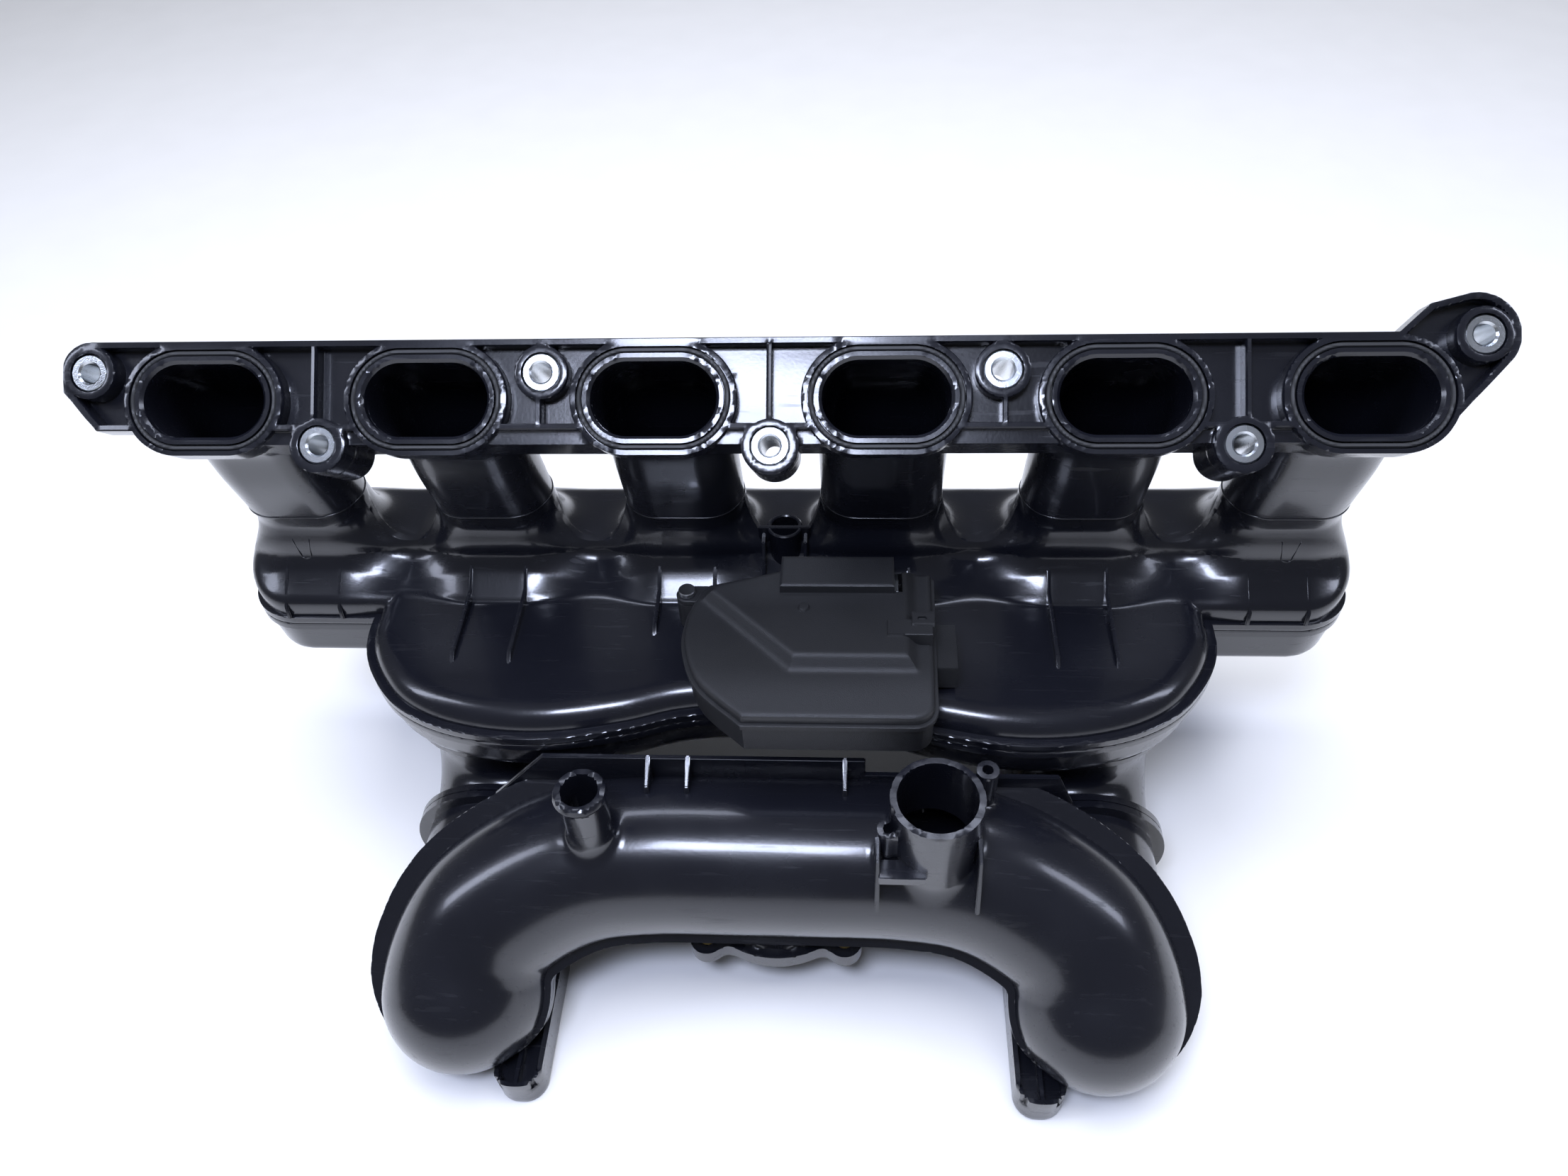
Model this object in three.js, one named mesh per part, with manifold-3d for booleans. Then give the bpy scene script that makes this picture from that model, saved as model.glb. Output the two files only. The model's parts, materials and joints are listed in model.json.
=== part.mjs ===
// Moulded-plastic intake manifold for an in-line six-cylinder engine.
// Millimetres. +X runs along the port row, +Y away from the engine, +Z up.
// The origin is the middle of the head flange's sealing face, between ports 3 and 4.
// The flange leans back by FLANGE_TILT: in its own frame, X is the row, Y goes up the face and Z points out.

import * as THREE from "three";
import { mergeVertices } from "three/addons/utils/BufferGeometryUtils.js";
import Module from "manifold-3d";

const wasm = await Module();
wasm.setup();

// ---- driving dimensions ---------------------------------------------------------------------

const GAP = 0.3; // clearance between pieces that touch
const WALL = 3; // moulded wall thickness
const SIDES = 12; // facets round a full circle
const ARC = 3; // facets in each end of a port's outline

const PORT_COUNT = 6;
const PORT_PITCH = 103.6;
const PORT_WIDTH = 57;
const PORT_HEIGHT = 33.6;
const FLANGE_TILT = THREE.MathUtils.degToRad(42);
const FLANGE_THICKNESS = 12;
const FLANGE_TOP = 27; // up the face from the port row
const FLANGE_BOTTOM = -14;
const FLANGE_LEFT = -325;
const EAR_RADIUS = 18;
const POCKET_DEPTH = 8;
const PORT_RING_WALL = 9.4; // land round each port, holding the seal groove
const SEAL_WIDTH = 3;
const SEAL_DEPTH = 3.4;
const SEAL_INSET = 3.4; // from the port's edge to the groove

const SLEEVE_RADIUS = 8.65;
const SLEEVE_BORE = 4.6;
const SLEEVE_LENGTH = 34;
const BOSS_RADIUS = 12.3;
const BOSS_SPOTS = [
  [-2.5 * PORT_PITCH - 53.8, 12.8], [-2 * PORT_PITCH + 2.5, -20.5], [-PORT_PITCH + 1.3, 11.8], [0.6, -21.4],
  [PORT_PITCH - 1.1, 11.8], [2 * PORT_PITCH - 2, -21.1], [2.5 * PORT_PITCH + 46.2, 25.5],
];

const RUNNER_STEPS = 6;
const RUNNER_SEAM_Z = -95; // weld between the flange moulding and the plenum cover
const LIP_Z = -156; // weld between the plenum cover and the tray
const LIP_WIDTH = 4;
const LIP_HEIGHT = 5;
const BODY_HALF_LENGTH = 298;
const BODY_FRONT = 6;
const BODY_REAR = 92;
const BODY_TOP = -128;
const BODY_ROLL = 14; // radius of the body's rolled upper edge
const LOBE_TOP = -141;
const LOBE_ROLL = 12;
const TRAY_FLOOR = -184;
const TRAY_ROLL = 12;
const SLOPE = { back: 34, high: -132, crease: 10 };

const TUBE_RADIUS = 40.5;
const TUBE_DEPTH = -84; // the crossover's mid plane, measured along the flange normal
const TUBE_AXIS_UP = -218; // height of the tube's straight middle up the flange's own frame
// The straight middle's axis, to the nearest tenth of a millimetre.
const TUBE_AXIS = fromFlange(0, TUBE_AXIS_UP, TUBE_DEPTH).multiplyScalar(10).round().divideScalar(10);
const ARM_DROP = 72; // how far the arm ends lie below the middle, in the same plane
const TUBE_STEPS = 15;
const TUBE_RIM = 10;
const TUBE_RIM_THICKNESS = 5;
const ELBOW_X = 161;
const ELBOW_BEND = 48;
const COLLAR_RADIUS = 47;
const COLLAR_THICKNESS = 4;
const COLLAR_Y = -70;

const THROTTLE_BORE = 37.5;
const THROTTLE_X = -2;
const THROTTLE_Y = TUBE_AXIS.y + 10.8;
const THROTTLE_FLANGE_Z = TUBE_AXIS.z - 53.7;
const THROTTLE_FLANGE_THICKNESS = 10;
const THROTTLE_FLANGE_SIZE = 94;
const THROTTLE_BOLT_SPACING = 72;
const INSERT_RADIUS = 4;
const INSERT_BORE = 2.6;

const BARB = { x: -88.3, y: TUBE_AXIS.y - 11.8, mouth: TUBE_AXIS.z + 73.3, radius: 11.2, bead: 12.7, bore: 8.7 };
const SOCKET = { x: 76.5, y: TUBE_AXIS.y - 12.2, mouth: TUBE_AXIS.z + 73.3, radius: 21.8, bore: 18.6 };

const SOCKET_EARS = [[54.5, TUBE_AXIS.y - 20.2], [102, TUBE_AXIS.y + 12.8]];
const WEB_Y = TUBE_AXIS.y + 23.8;
const WEB_THICKNESS = 3;

const BOX_BASE_Z = -140.7;
const BOX_SPLIT_Z = -123;
const BOX_TOP_Z = -108;
const BOX_WALL = 2.2;
const MOTOR_RADIUS = 12;
const MOTOR = { x0: 29.5, x1: 60, y: -9, z: -119 };
const WHEEL_PIN = { x: 13.3, y: -27 };
const PIN_RADIUS = 1.5;
const GEAR_MODULE = 1;
const PINION_TEETH = 10;
const SECTOR_TEETH = 49; // teeth of the full circle that the sector is cut from
const SECTOR_ANGLE = 112;
const WHEEL_TEETH = 28;
const WORM_STARTS = 2;
const FLAP = { y: -29, halfWidth: 14, shaft: 4, thickness: 2, bottom: -175.5, top: -152 };
const BUSH_RADIUS = FLAP.shaft + 1.8;
const GEAR_CENTRES = (GEAR_MODULE * (PINION_TEETH + SECTOR_TEETH)) / 2;
FLAP.x = WHEEL_PIN.x - Math.sqrt(GEAR_CENTRES ** 2 - (FLAP.y - WHEEL_PIN.y) ** 2);

// A point given by row position, height up the flange and distance out of it.
function fromFlange(x, up, out) {
  const c = Math.cos(FLANGE_TILT);
  const s = Math.sin(FLANGE_TILT);
  return new THREE.Vector3(x, up * c - out * s, up * s + out * c);
}

const ARM_END = fromFlange(ELBOW_X, TUBE_AXIS_UP - ARM_DROP, TUBE_DEPTH);
const BENCH_Z = ARM_END.z - TUBE_RADIUS; // lowest level: feet, arm ends and legs

// ---- solids ---------------------------------------------------------------------------------

// A closed three.js geometry as a solid that can be joined and cut.
function solid(geometry) {
  const bare = geometry.clone();
  bare.deleteAttribute("normal");
  bare.deleteAttribute("uv");
  const merged = mergeVertices(bare, 1e-4);
  const vertProperties = Float32Array.from(merged.attributes.position.array);
  const triVerts = Uint32Array.from(merged.index.array);
  return new wasm.Manifold(new wasm.Mesh({ numProp: 3, vertProperties, triVerts }));
}

function geometryOf(body) {
  const mesh = body.getMesh();
  const geometry = new THREE.BufferGeometry();
  geometry.setAttribute("position", new THREE.BufferAttribute(Float32Array.from(mesh.vertProperties), 3));
  geometry.setIndex(new THREE.BufferAttribute(Uint32Array.from(mesh.triVerts), 1));
  const flat = geometry.toNonIndexed();
  flat.computeVertexNormals();
  return flat;
}

function join(...bodies) {
  return bodies.reduce((whole, body) => whole.add(body));
}

function cut(body, ...tools) {
  return tools.reduce((whole, tool) => whole.subtract(tool), body);
}

function block(x0, x1, y0, y1, z0, z1) {
  const geometry = new THREE.BoxGeometry(x1 - x0, y1 - y0, z1 - z0);
  geometry.translate((x0 + x1) / 2, (y0 + y1) / 2, (z0 + z1) / 2);
  return solid(geometry);
}

// An upright round bar.
function bar(x, y, radius, z0, z1, sides = SIDES) {
  const geometry = new THREE.CylinderGeometry(radius, radius, z1 - z0, sides);
  geometry.rotateX(Math.PI / 2);
  geometry.translate(x, y, (z0 + z1) / 2);
  return solid(geometry);
}

function ring(x, y, outer, inner, z0, z1, sides = SIDES) {
  return cut(bar(x, y, outer, z0, z1, sides), bar(x, y, inner, z0 - 1, z1 + 1, sides));
}

// A flat outline raised from z0 to z1, grown by `grow` and rolled over at both ends by `roll`.
function slab(shape, z0, z1, { grow = 0, roll = 0.6, segments = 1, curve = ARC } = {}) {
  const geometry = new THREE.ExtrudeGeometry(shape, {
    depth: z1 - z0 - 2 * roll,
    bevelEnabled: true,
    bevelThickness: roll,
    bevelSize: roll,
    bevelOffset: grow - roll,
    bevelSegments: segments,
    curveSegments: curve,
  });
  geometry.translate(0, 0, z0 + roll);
  return solid(geometry);
}

// A flat outline raised square-edged.
function plate(shape, z0, z1, curve = ARC) {
  const geometry = new THREE.ExtrudeGeometry(shape, { depth: z1 - z0, bevelEnabled: false, curveSegments: curve });
  geometry.translate(0, 0, z0);
  return solid(geometry);
}

// A section pushed along a curve. The section's x lies along the row.
function sweep(shape, curve, steps, curveSegments = ARC) {
  return solid(new THREE.ExtrudeGeometry(shape, { steps, extrudePath: curve, curveSegments }));
}

function stadium(width, height) {
  const half = (width - height) / 2;
  const radius = height / 2;
  const shape = new THREE.Shape();
  shape.moveTo(-half, -radius);
  shape.lineTo(half, -radius);
  shape.absarc(half, 0, radius, -Math.PI / 2, Math.PI / 2, false);
  shape.lineTo(-half, radius);
  shape.absarc(-half, 0, radius, Math.PI / 2, (Math.PI * 3) / 2, false);
  return shape;
}

function disc(radius) {
  const shape = new THREE.Shape();
  shape.absarc(0, 0, radius, 0, Math.PI * 2, false);
  return shape;
}

function roundedRectangle(x0, x1, y0, y1, radius) {
  const shape = new THREE.Shape();
  shape.absarc(x1 - radius, y0 + radius, radius, -Math.PI / 2, 0, false);
  shape.absarc(x1 - radius, y1 - radius, radius, 0, Math.PI / 2, false);
  shape.absarc(x0 + radius, y1 - radius, radius, Math.PI / 2, Math.PI, false);
  shape.absarc(x0 + radius, y0 + radius, radius, Math.PI, (Math.PI * 3) / 2, false);
  return shape;
}

function polygon(points) {
  return new THREE.Shape(points.map(([x, y]) => new THREE.Vector2(x, y)));
}

// From the flange's own frame into the part's frame.
function lean(body) {
  return body.rotate([THREE.MathUtils.radToDeg(FLANGE_TILT), 0, 0]);
}

function portX(index) {
  return (index - (PORT_COUNT - 1) / 2) * PORT_PITCH;
}

const PORTS = Array.from({ length: PORT_COUNT }, (_, index) => portX(index));

// ---- head flange and runners ----------------------------------------------------------------

function flangeOutline() {
  const [earX, earY] = BOSS_SPOTS[6];
  const shape = new THREE.Shape();
  shape.moveTo(FLANGE_LEFT + 8, FLANGE_TOP);
  shape.absarc(FLANGE_LEFT + 13, FLANGE_TOP - 13, 13, Math.PI / 2, Math.PI, false);
  shape.lineTo(FLANGE_LEFT, 4);
  shape.lineTo(-309, FLANGE_BOTTOM);
  shape.lineTo(290, FLANGE_BOTTOM);
  shape.absarc(earX - 3, earY, EAR_RADIUS, -Math.PI / 5, Math.PI * 0.55, false);
  shape.lineTo(283, FLANGE_TOP + 13);
  shape.lineTo(270, FLANGE_TOP);
  return shape;
}

// The pocket between two ports, between its walls, clear of the rib and the bolt boss.
function flangePocket(x0, x1, ribX) {
  const pocket = block(x0, x1, FLANGE_BOTTOM + WALL, FLANGE_TOP - WALL, -POCKET_DEPTH, 1);
  const rib = block(ribX - 2.2, ribX + 2.2, -40, 60, -POCKET_DEPTH - 1, 2);
  return cut(pocket, rib);
}

function runnerCurve(x) {
  const stations = [[0, 12], [0, -25], [-3, -45], [-16, -69], [-27, -92], [-37.5, -112], [-53, -119], [-75, -116]];
  return new THREE.CatmullRomCurve3(stations.map(([up, out]) => fromFlange(x, up, out)));
}

function runner(x, growth) {
  return sweep(stadium(PORT_WIDTH + growth, PORT_HEIGHT + growth), runnerCurve(x), RUNNER_STEPS);
}

function runnerCore() {
  return join(...PORTS.map((x) => runner(x, 0)));
}

function headFlange() {
  const outline = flangeOutline();
  const body = [plate(outline, -FLANGE_THICKNESS, 0)];
  const cutters = [];
  for (const x of PORTS) {
    const land = stadium(PORT_WIDTH + 2 * PORT_RING_WALL, PORT_HEIGHT + 2 * PORT_RING_WALL - 1.6);
    body.push(plate(land, -FLANGE_THICKNESS, 0).translate([x, 0, 0]));
  }
  for (const [x, y] of BOSS_SPOTS) {
    body.push(bar(x, y, BOSS_RADIUS, -SLEEVE_LENGTH, 0));
  }
  let pockets = join(...PORTS.slice(1).map((x, i) => flangePocket(PORTS[i] + 20, x - 20, x - PORT_PITCH / 2)));
  pockets = join(pockets, flangePocket(-318, PORTS[0] - 20, -330), flangePocket(PORTS[5] + 20, 303, 330));
  for (const x of PORTS) {
    const land = stadium(PORT_WIDTH + 2 * PORT_RING_WALL, PORT_HEIGHT + 2 * PORT_RING_WALL);
    pockets = cut(pockets, plate(land, -POCKET_DEPTH - 1, 2).translate([x, 0, 0]));
    const groove = cut(
      plate(stadium(PORT_WIDTH + 2 * SEAL_INSET + 2 * SEAL_WIDTH, PORT_HEIGHT + 2 * SEAL_INSET + 2 * SEAL_WIDTH), -SEAL_DEPTH, 1),
      plate(stadium(PORT_WIDTH + 2 * SEAL_INSET, PORT_HEIGHT + 2 * SEAL_INSET), -SEAL_DEPTH - 1, 2),
    );
    cutters.push(groove.translate([x, 0, 0]));
  }
  for (const [x, y] of BOSS_SPOTS) {
    pockets = cut(pockets, bar(x, y, BOSS_RADIUS, -POCKET_DEPTH - 1, 2));
    cutters.push(bar(x, y, SLEEVE_RADIUS + GAP, -SLEEVE_LENGTH - 1, 1));
  }
  cutters.push(pockets);
  body.push(block(PORTS[0] - 20, PORTS[5] + 20, -20.5, -16.5, -36, -30));
  const plateBody = lean(join(...body));
  const upper = block(-400, 400, -200, 300, RUNNER_SEAM_Z + GAP / 2, 200);
  const behind = lean(block(-400, 400, -200, 200, -400, -1));
  const shells = join(...PORTS.map((x) => runner(x, 2 * WALL)));
  const bends = shells.intersect(upper).intersect(behind);
  return cut(join(plateBody, bends), runnerCore(), ...cutters.map(lean));
}

function sleeve(length) {
  return ring(0, 0, SLEEVE_RADIUS, SLEEVE_BORE, -length, 0);
}

function portSeal() {
  const outer = SEAL_INSET + SEAL_WIDTH - GAP;
  const inner = SEAL_INSET + GAP;
  return cut(
    plate(stadium(PORT_WIDTH + 2 * outer, PORT_HEIGHT + 2 * outer), GAP - SEAL_DEPTH, -GAP),
    plate(stadium(PORT_WIDTH + 2 * inner, PORT_HEIGHT + 2 * inner), -SEAL_DEPTH - 1, 1),
  );
}

// ---- plenum ---------------------------------------------------------------------------------

// Half of the lobes' front edge, from the outer end to the waist in the middle.
const LOBE_EDGE = [[222, 26], [221, -16], [204, -46], [181, -63], [150, -72], [115, -73.5], [78, -67], [46, -58], [0, -55]];

function lobeOutline() {
  const left = LOBE_EDGE.map(([x, y]) => new THREE.Vector2(-x, y));
  const right = LOBE_EDGE.slice(0, -1).reverse().map(([x, y]) => new THREE.Vector2(x, y));
  const edge = new THREE.SplineCurve([...left, ...right]);
  const shape = new THREE.Shape(edge.getPoints(20));
  shape.lineTo(LOBE_EDGE[0][0], BODY_REAR - 25);
  shape.lineTo(-LOBE_EDGE[0][0], BODY_REAR - 25);
  return shape;
}

function bodyOutline() {
  return roundedRectangle(-BODY_HALF_LENGTH, BODY_HALF_LENGTH, BODY_FRONT, BODY_REAR, 26);
}

// The plenum's outer (inset 0) or inner form above the weld lip.
function upperForm(inset) {
  const body = slab(bodyOutline(), LIP_Z - 40, BODY_TOP - inset, { grow: -inset, roll: BODY_ROLL - inset, segments: 2 });
  const lobes = slab(lobeOutline(), LIP_Z - 40, LOBE_TOP - inset, { grow: -inset, roll: LOBE_ROLL - inset, segments: 2 });
  const crease = cut(join(body, lobes), slopeAbove(inset));
  return crease.intersect(block(-400, 400, -200, 300, LIP_Z + (inset ? -1 : GAP / 2), 0));
}

// What stands over the slope that runs down from the runners' wall to the lobes' level.
function slopeAbove(inset) {
  const back = SLOPE.back + inset;
  const profile = [[back, SLOPE.high], [SLOPE.crease, LOBE_TOP], [-60, LOBE_TOP], [-60, 0], [back, 0]];
  return fin(0, profile.map(([y, z]) => [y, z - inset]), 800);
}

function lipForm(z0, z1) {
  return join(
    slab(bodyOutline(), z0, z1, { grow: LIP_WIDTH }),
    slab(lobeOutline(), z0, z1, { grow: LIP_WIDTH }),
  );
}

// A thin upright fin lying along Y, given by its profile in the YZ plane.
function fin(x, profile, thickness) {
  const geometry = new THREE.ExtrudeGeometry(polygon(profile), { depth: thickness, bevelEnabled: false });
  geometry.rotateY(Math.PI / 2);
  geometry.rotateX(Math.PI / 2);
  geometry.translate(x - thickness / 2, 0, 0);
  return solid(geometry);
}

function plenumUpper() {
  const below = block(-400, 400, -200, 300, LIP_Z + LIP_HEIGHT / 2, RUNNER_SEAM_Z - GAP / 2);
  const shells = join(...PORTS.map((x) => runner(x, 2 * WALL))).intersect(below);
  const lip = lipForm(LIP_Z + GAP / 2, LIP_Z + LIP_HEIGHT);
  const fins = [];
  for (const x of PORTS) {
    const reach = Math.abs(x) > 200 ? -6 : -46;
    for (const side of [-14.5, 14.5]) {
      fins.push(fin(x + side, [[40, -126], [12, -134], [reach, LOBE_TOP + 4], [reach, LOBE_TOP - 2], [40, LOBE_TOP - 2]], 2));
    }
  }
  const posts = [bar(65, -66, 4, LIP_Z + 1, BOX_BASE_Z - GAP, 12)];
  const solids = join(upperForm(0), shells, lip, ...posts);
  const boxClear = slab(boxOutline(), BOX_BASE_Z - GAP, BOX_TOP_Z + 20, { grow: 1 });
  const hollow = join(upperForm(WALL), runnerCore());
  const shaftHole = bar(FLAP.x, FLAP.y, BUSH_RADIUS + GAP, LIP_Z, 0);
  const earClear = boxEar(BOX_BASE_Z - GAP, BOX_TOP_Z, 1);
  return cut(join(solids, cut(join(...fins), boxClear, earClear)), hollow, shaftHole);
}

function lowerForm(inset) {
  const floor = TRAY_FLOOR + inset;
  const body = slab(bodyOutline(), floor, LIP_Z + 40, { grow: -inset, roll: TRAY_ROLL - inset, segments: 2 });
  const lobes = slab(lobeOutline(), floor, LIP_Z + 40, { grow: -inset, roll: TRAY_ROLL - inset, segments: 2 });
  return join(body, lobes).intersect(block(-400, 400, -200, 300, -400, LIP_Z + (inset ? 1 : -GAP / 2)));
}

// A ribbed support leg under the tray: a back plate with shelf ribs and two side ribs.
function supportLeg(x) {
  const width = 52;
  const parts = [
    block(x - width / 2, x + width / 2, 62, 66, BENCH_Z, TRAY_FLOOR + 2),
    block(x - width / 2, x - width / 2 + 3, 34, 66, BENCH_Z, TRAY_FLOOR + 2),
    block(x + width / 2 - 3, x + width / 2, 34, 66, BENCH_Z, TRAY_FLOOR + 2),
  ];
  for (const z of [BENCH_Z, -262, -226]) {
    parts.push(block(x - width / 2 - 6, x + width / 2 + 6, 34, 66, z, z + 3));
  }
  return join(...parts);
}

const ELBOW_TOP_Y = COLLAR_Y + COLLAR_THICKNESS + 1 + ELBOW_BEND;

function plenumLower() {
  const lip = lipForm(LIP_Z - LIP_HEIGHT, LIP_Z - GAP / 2);
  const legs = join(supportLeg(-ELBOW_X), supportLeg(ELBOW_X));
  const inlets = [-1, 1].map((side) => bar(side * ELBOW_X, ELBOW_TOP_Y, TUBE_RADIUS - WALL, TRAY_FLOOR - 5, LIP_Z));
  return cut(join(lowerForm(0), lip, legs), lowerForm(WALL), ...inlets);
}

function plenumDivider() {
  const profile = [
    [-50.5, LIP_Z], [-42, LOBE_TOP - WALL - GAP], [SLOPE.crease, LOBE_TOP - WALL - GAP],
    [SLOPE.back + WALL, SLOPE.high - WALL - GAP], [SLOPE.back + WALL + GAP, BODY_TOP - WALL - GAP],
    [BODY_REAR - 20, BODY_TOP - WALL - GAP], [BODY_REAR - 20, TRAY_FLOOR + WALL + GAP],
    [-40, TRAY_FLOOR + WALL + GAP], [-50.5, TRAY_FLOOR + 12],
  ];
  const wall = fin(FLAP.x, profile, 4);
  const reach = FLAP.halfWidth + 0.6;
  const window = block(FLAP.x - 5, FLAP.x + 5, FLAP.y - reach, FLAP.y + reach, FLAP.bottom - 0.5, FLAP.top + 0.5);
  const foot = bar(FLAP.x, FLAP.y, 8, TRAY_FLOOR + WALL + GAP, FLAP.bottom - 0.5);
  const head = bar(FLAP.x, FLAP.y, 8, FLAP.top + 0.5, LOBE_TOP - WALL - GAP);
  const bore = bar(FLAP.x, FLAP.y, FLAP.shaft + GAP, -300, 0);
  const seat = bar(FLAP.x, FLAP.y, BUSH_RADIUS + GAP, TRAY_FLOOR + WALL + 1.2, -100);
  return cut(join(cut(wall, window), foot, head), bore, seat);
}

// ---- crossover ------------------------------------------------------------------------------

function crossoverCurve() {
  const half = [[ELBOW_X, -ARM_DROP], [ELBOW_X - 2, -54], [ELBOW_X - 14, -33], [122, -15], [95, -4.5], [62, -0.5], [25, 0]];
  const left = half.map(([x, up]) => fromFlange(-x, TUBE_AXIS_UP + up, TUBE_DEPTH));
  const right = half.map(([x, up]) => fromFlange(x, TUBE_AXIS_UP + up, TUBE_DEPTH)).reverse();
  return new THREE.CatmullRomCurve3([...left, ...right]);
}

function ball(x, radius) {
  const geometry = new THREE.SphereGeometry(radius, SIDES, SIDES / 2);
  geometry.translate(x, ARM_END.y, ARM_END.z);
  return solid(geometry);
}

// A level duct running back from an arm's end to the collar.
function armTail(x, radius, y1) {
  const start = new THREE.Vector3(x, ARM_END.y, ARM_END.z);
  const end = new THREE.Vector3(x, y1, ARM_END.z);
  return sweep(disc(radius), new THREE.LineCurve3(start, end), 1, SIDES / 2);
}

function crossoverForm(radius, tailEnd) {
  const tube = sweep(disc(radius), crossoverCurve(), TUBE_STEPS, SIDES / 2);
  const ends = [-ELBOW_X, ELBOW_X].map((x) => join(ball(x, radius), armTail(x, radius, tailEnd)));
  return join(tube, ...ends);
}

// The half space in front of (side 1) or behind (side -1) the crossover's weld plane.
function weldSide(side) {
  const plane = TUBE_DEPTH + (side * GAP) / 2;
  return lean(side > 0 ? block(-400, 400, -500, 100, plane, plane + 300) : block(-400, 400, -500, 100, plane - 300, plane));
}

// The weld rim in the tube's mid plane: a flat band that follows the outer side of the arms.
function weldRim() {
  const band = sweep(disc(TUBE_RADIUS + TUBE_RIM), crossoverCurve(), TUBE_STEPS, SIDES / 2);
  const z0 = TUBE_DEPTH - TUBE_RIM_THICKNESS;
  const layer = lean(block(-400, 400, -500, TUBE_AXIS_UP + 200, z0, TUBE_DEPTH + TUBE_RIM_THICKNESS));
  const inside = lean(block(-ELBOW_X + 22, ELBOW_X - 22, -500, TUBE_AXIS_UP - TUBE_RADIUS - 6, z0 - 1, TUBE_DEPTH + 10));
  const room = block(-400, 400, WEB_Y + WEB_THICKNESS, 300, -400, 0);
  return cut(band.intersect(layer), inside, room);
}

function crossoverUpper() {
  const webTop = LIP_Z - 2;
  const inTube = TUBE_AXIS.z + 18.3;
  const web = join(
    block(-118, 44, WEB_Y, WEB_Y + WEB_THICKNESS, inTube, webTop),
    block(40, 140, WEB_Y, WEB_Y + WEB_THICKNESS, inTube, webTop - 14),
  );
  const gusset = [
    [WEB_Y + 2, webTop], [WEB_Y + 2, inTube], [WEB_Y - 18, TUBE_AXIS.z + 36.3], [WEB_Y - 14, TUBE_AXIS.z + 42.3],
  ];
  const gussets = [-64, -44, 34].map((x) => fin(x, gusset, 2.4));
  const barb = join(
    bar(BARB.x, BARB.y, BARB.radius, inTube, BARB.mouth),
    bar(BARB.x, BARB.y, BARB.bead, BARB.mouth - 6, BARB.mouth - 1),
  );
  const socket = bar(SOCKET.x, SOCKET.y, SOCKET.radius, inTube, SOCKET.mouth);
  const ears = SOCKET_EARS.map(([x, y]) => bar(x, y, 5.2, inTube - 5, SOCKET.mouth - 14));
  const earHoles = SOCKET_EARS.map(([x, y]) => bar(x, y, 2.6, SOCKET.mouth - 24, SOCKET.mouth));
  const outside = join(crossoverForm(TUBE_RADIUS, COLLAR_Y), weldRim(), web, ...gussets, barb, socket, ...ears);
  const inside = crossoverForm(TUBE_RADIUS - WALL, COLLAR_Y + 5);
  const barbBore = bar(BARB.x, BARB.y, BARB.bore, TUBE_AXIS.z - 21.7, 0);
  const socketBore = bar(SOCKET.x, SOCKET.y, SOCKET.bore, TUBE_AXIS.z - 6.7, 0);
  const level = block(-400, 400, -400, COLLAR_Y + 60, -400, 0);
  return cut(outside.intersect(weldSide(1)).intersect(level), inside, barbBore, socketBore, ...earHoles);
}

function foot(x) {
  const front = Math.round(ARM_END.y - 42.7);
  const shape = roundedRectangle(x - 12.5, x + 12.5, front, front + 82, 11);
  const post = plate(shape, BENCH_Z, BENCH_Z + 21);
  const trough = plate(roundedRectangle(x - 10, x + 10, front + 2.5, front + 52, 9), BENCH_Z + 13, 0);
  const rib = block(x - 1.2, x + 1.2, front + 3, front + 52, BENCH_Z + 12, BENCH_Z + 20);
  return join(cut(post, trough), rib);
}

function throttleDuct(radius, z0, z1) {
  return bar(THROTTLE_X, THROTTLE_Y, radius, z0, z1);
}

function throttleCorners() {
  const half = THROTTLE_BOLT_SPACING / 2;
  return [[-1, -1], [1, -1], [1, 1], [-1, 1]].map(([i, j]) => [THROTTLE_X + i * half, THROTTLE_Y + j * half]);
}

function crossoverLower() {
  const half = THROTTLE_FLANGE_SIZE / 2;
  const square = roundedRectangle(THROTTLE_X - half, THROTTLE_X + half, THROTTLE_Y - half, THROTTLE_Y + half, 11);
  const flangeTop = THROTTLE_FLANGE_Z + THROTTLE_FLANGE_THICKNESS;
  const pieces = [crossoverForm(TUBE_RADIUS, COLLAR_Y), weldRim(), throttleDuct(THROTTLE_BORE + WALL + 0.5, flangeTop - 1, TUBE_AXIS.z - 6.7)];
  pieces.push(plate(square, THROTTLE_FLANGE_Z, flangeTop));
  for (const x of [-ELBOW_X, ELBOW_X]) {
    const collar = new THREE.LineCurve3(
      new THREE.Vector3(x, COLLAR_Y - COLLAR_THICKNESS, ARM_END.z),
      new THREE.Vector3(x, COLLAR_Y, ARM_END.z),
    );
    const flat = block(-400, 400, -400, 400, BENCH_Z, 0);
    pieces.push(sweep(disc(COLLAR_RADIUS), collar, 1, SIDES / 2).intersect(flat));
  }
  const feet = [-1, 1].map((side) => foot(side * 132));
  const body = join(join(...pieces).intersect(weldSide(-1)), ...feet.map((f) => cut(f, crossoverForm(TUBE_RADIUS - 1, COLLAR_Y))));
  const inside = crossoverForm(TUBE_RADIUS - WALL, COLLAR_Y + 5);
  const duct = throttleDuct(THROTTLE_BORE, THROTTLE_FLANGE_Z - 5, TUBE_AXIS.z + 3.3);
  const holes = throttleCorners().map(([x, y]) => bar(x, y, INSERT_RADIUS + GAP, THROTTLE_FLANGE_Z - 1, flangeTop + 1));
  const groove = ring(THROTTLE_X, THROTTLE_Y, 43, 40, THROTTLE_FLANGE_Z - 1, THROTTLE_FLANGE_Z + 2.6);
  return cut(body, crossoverUpperEnvelope(), inside, duct, groove, ...holes);
}

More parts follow.
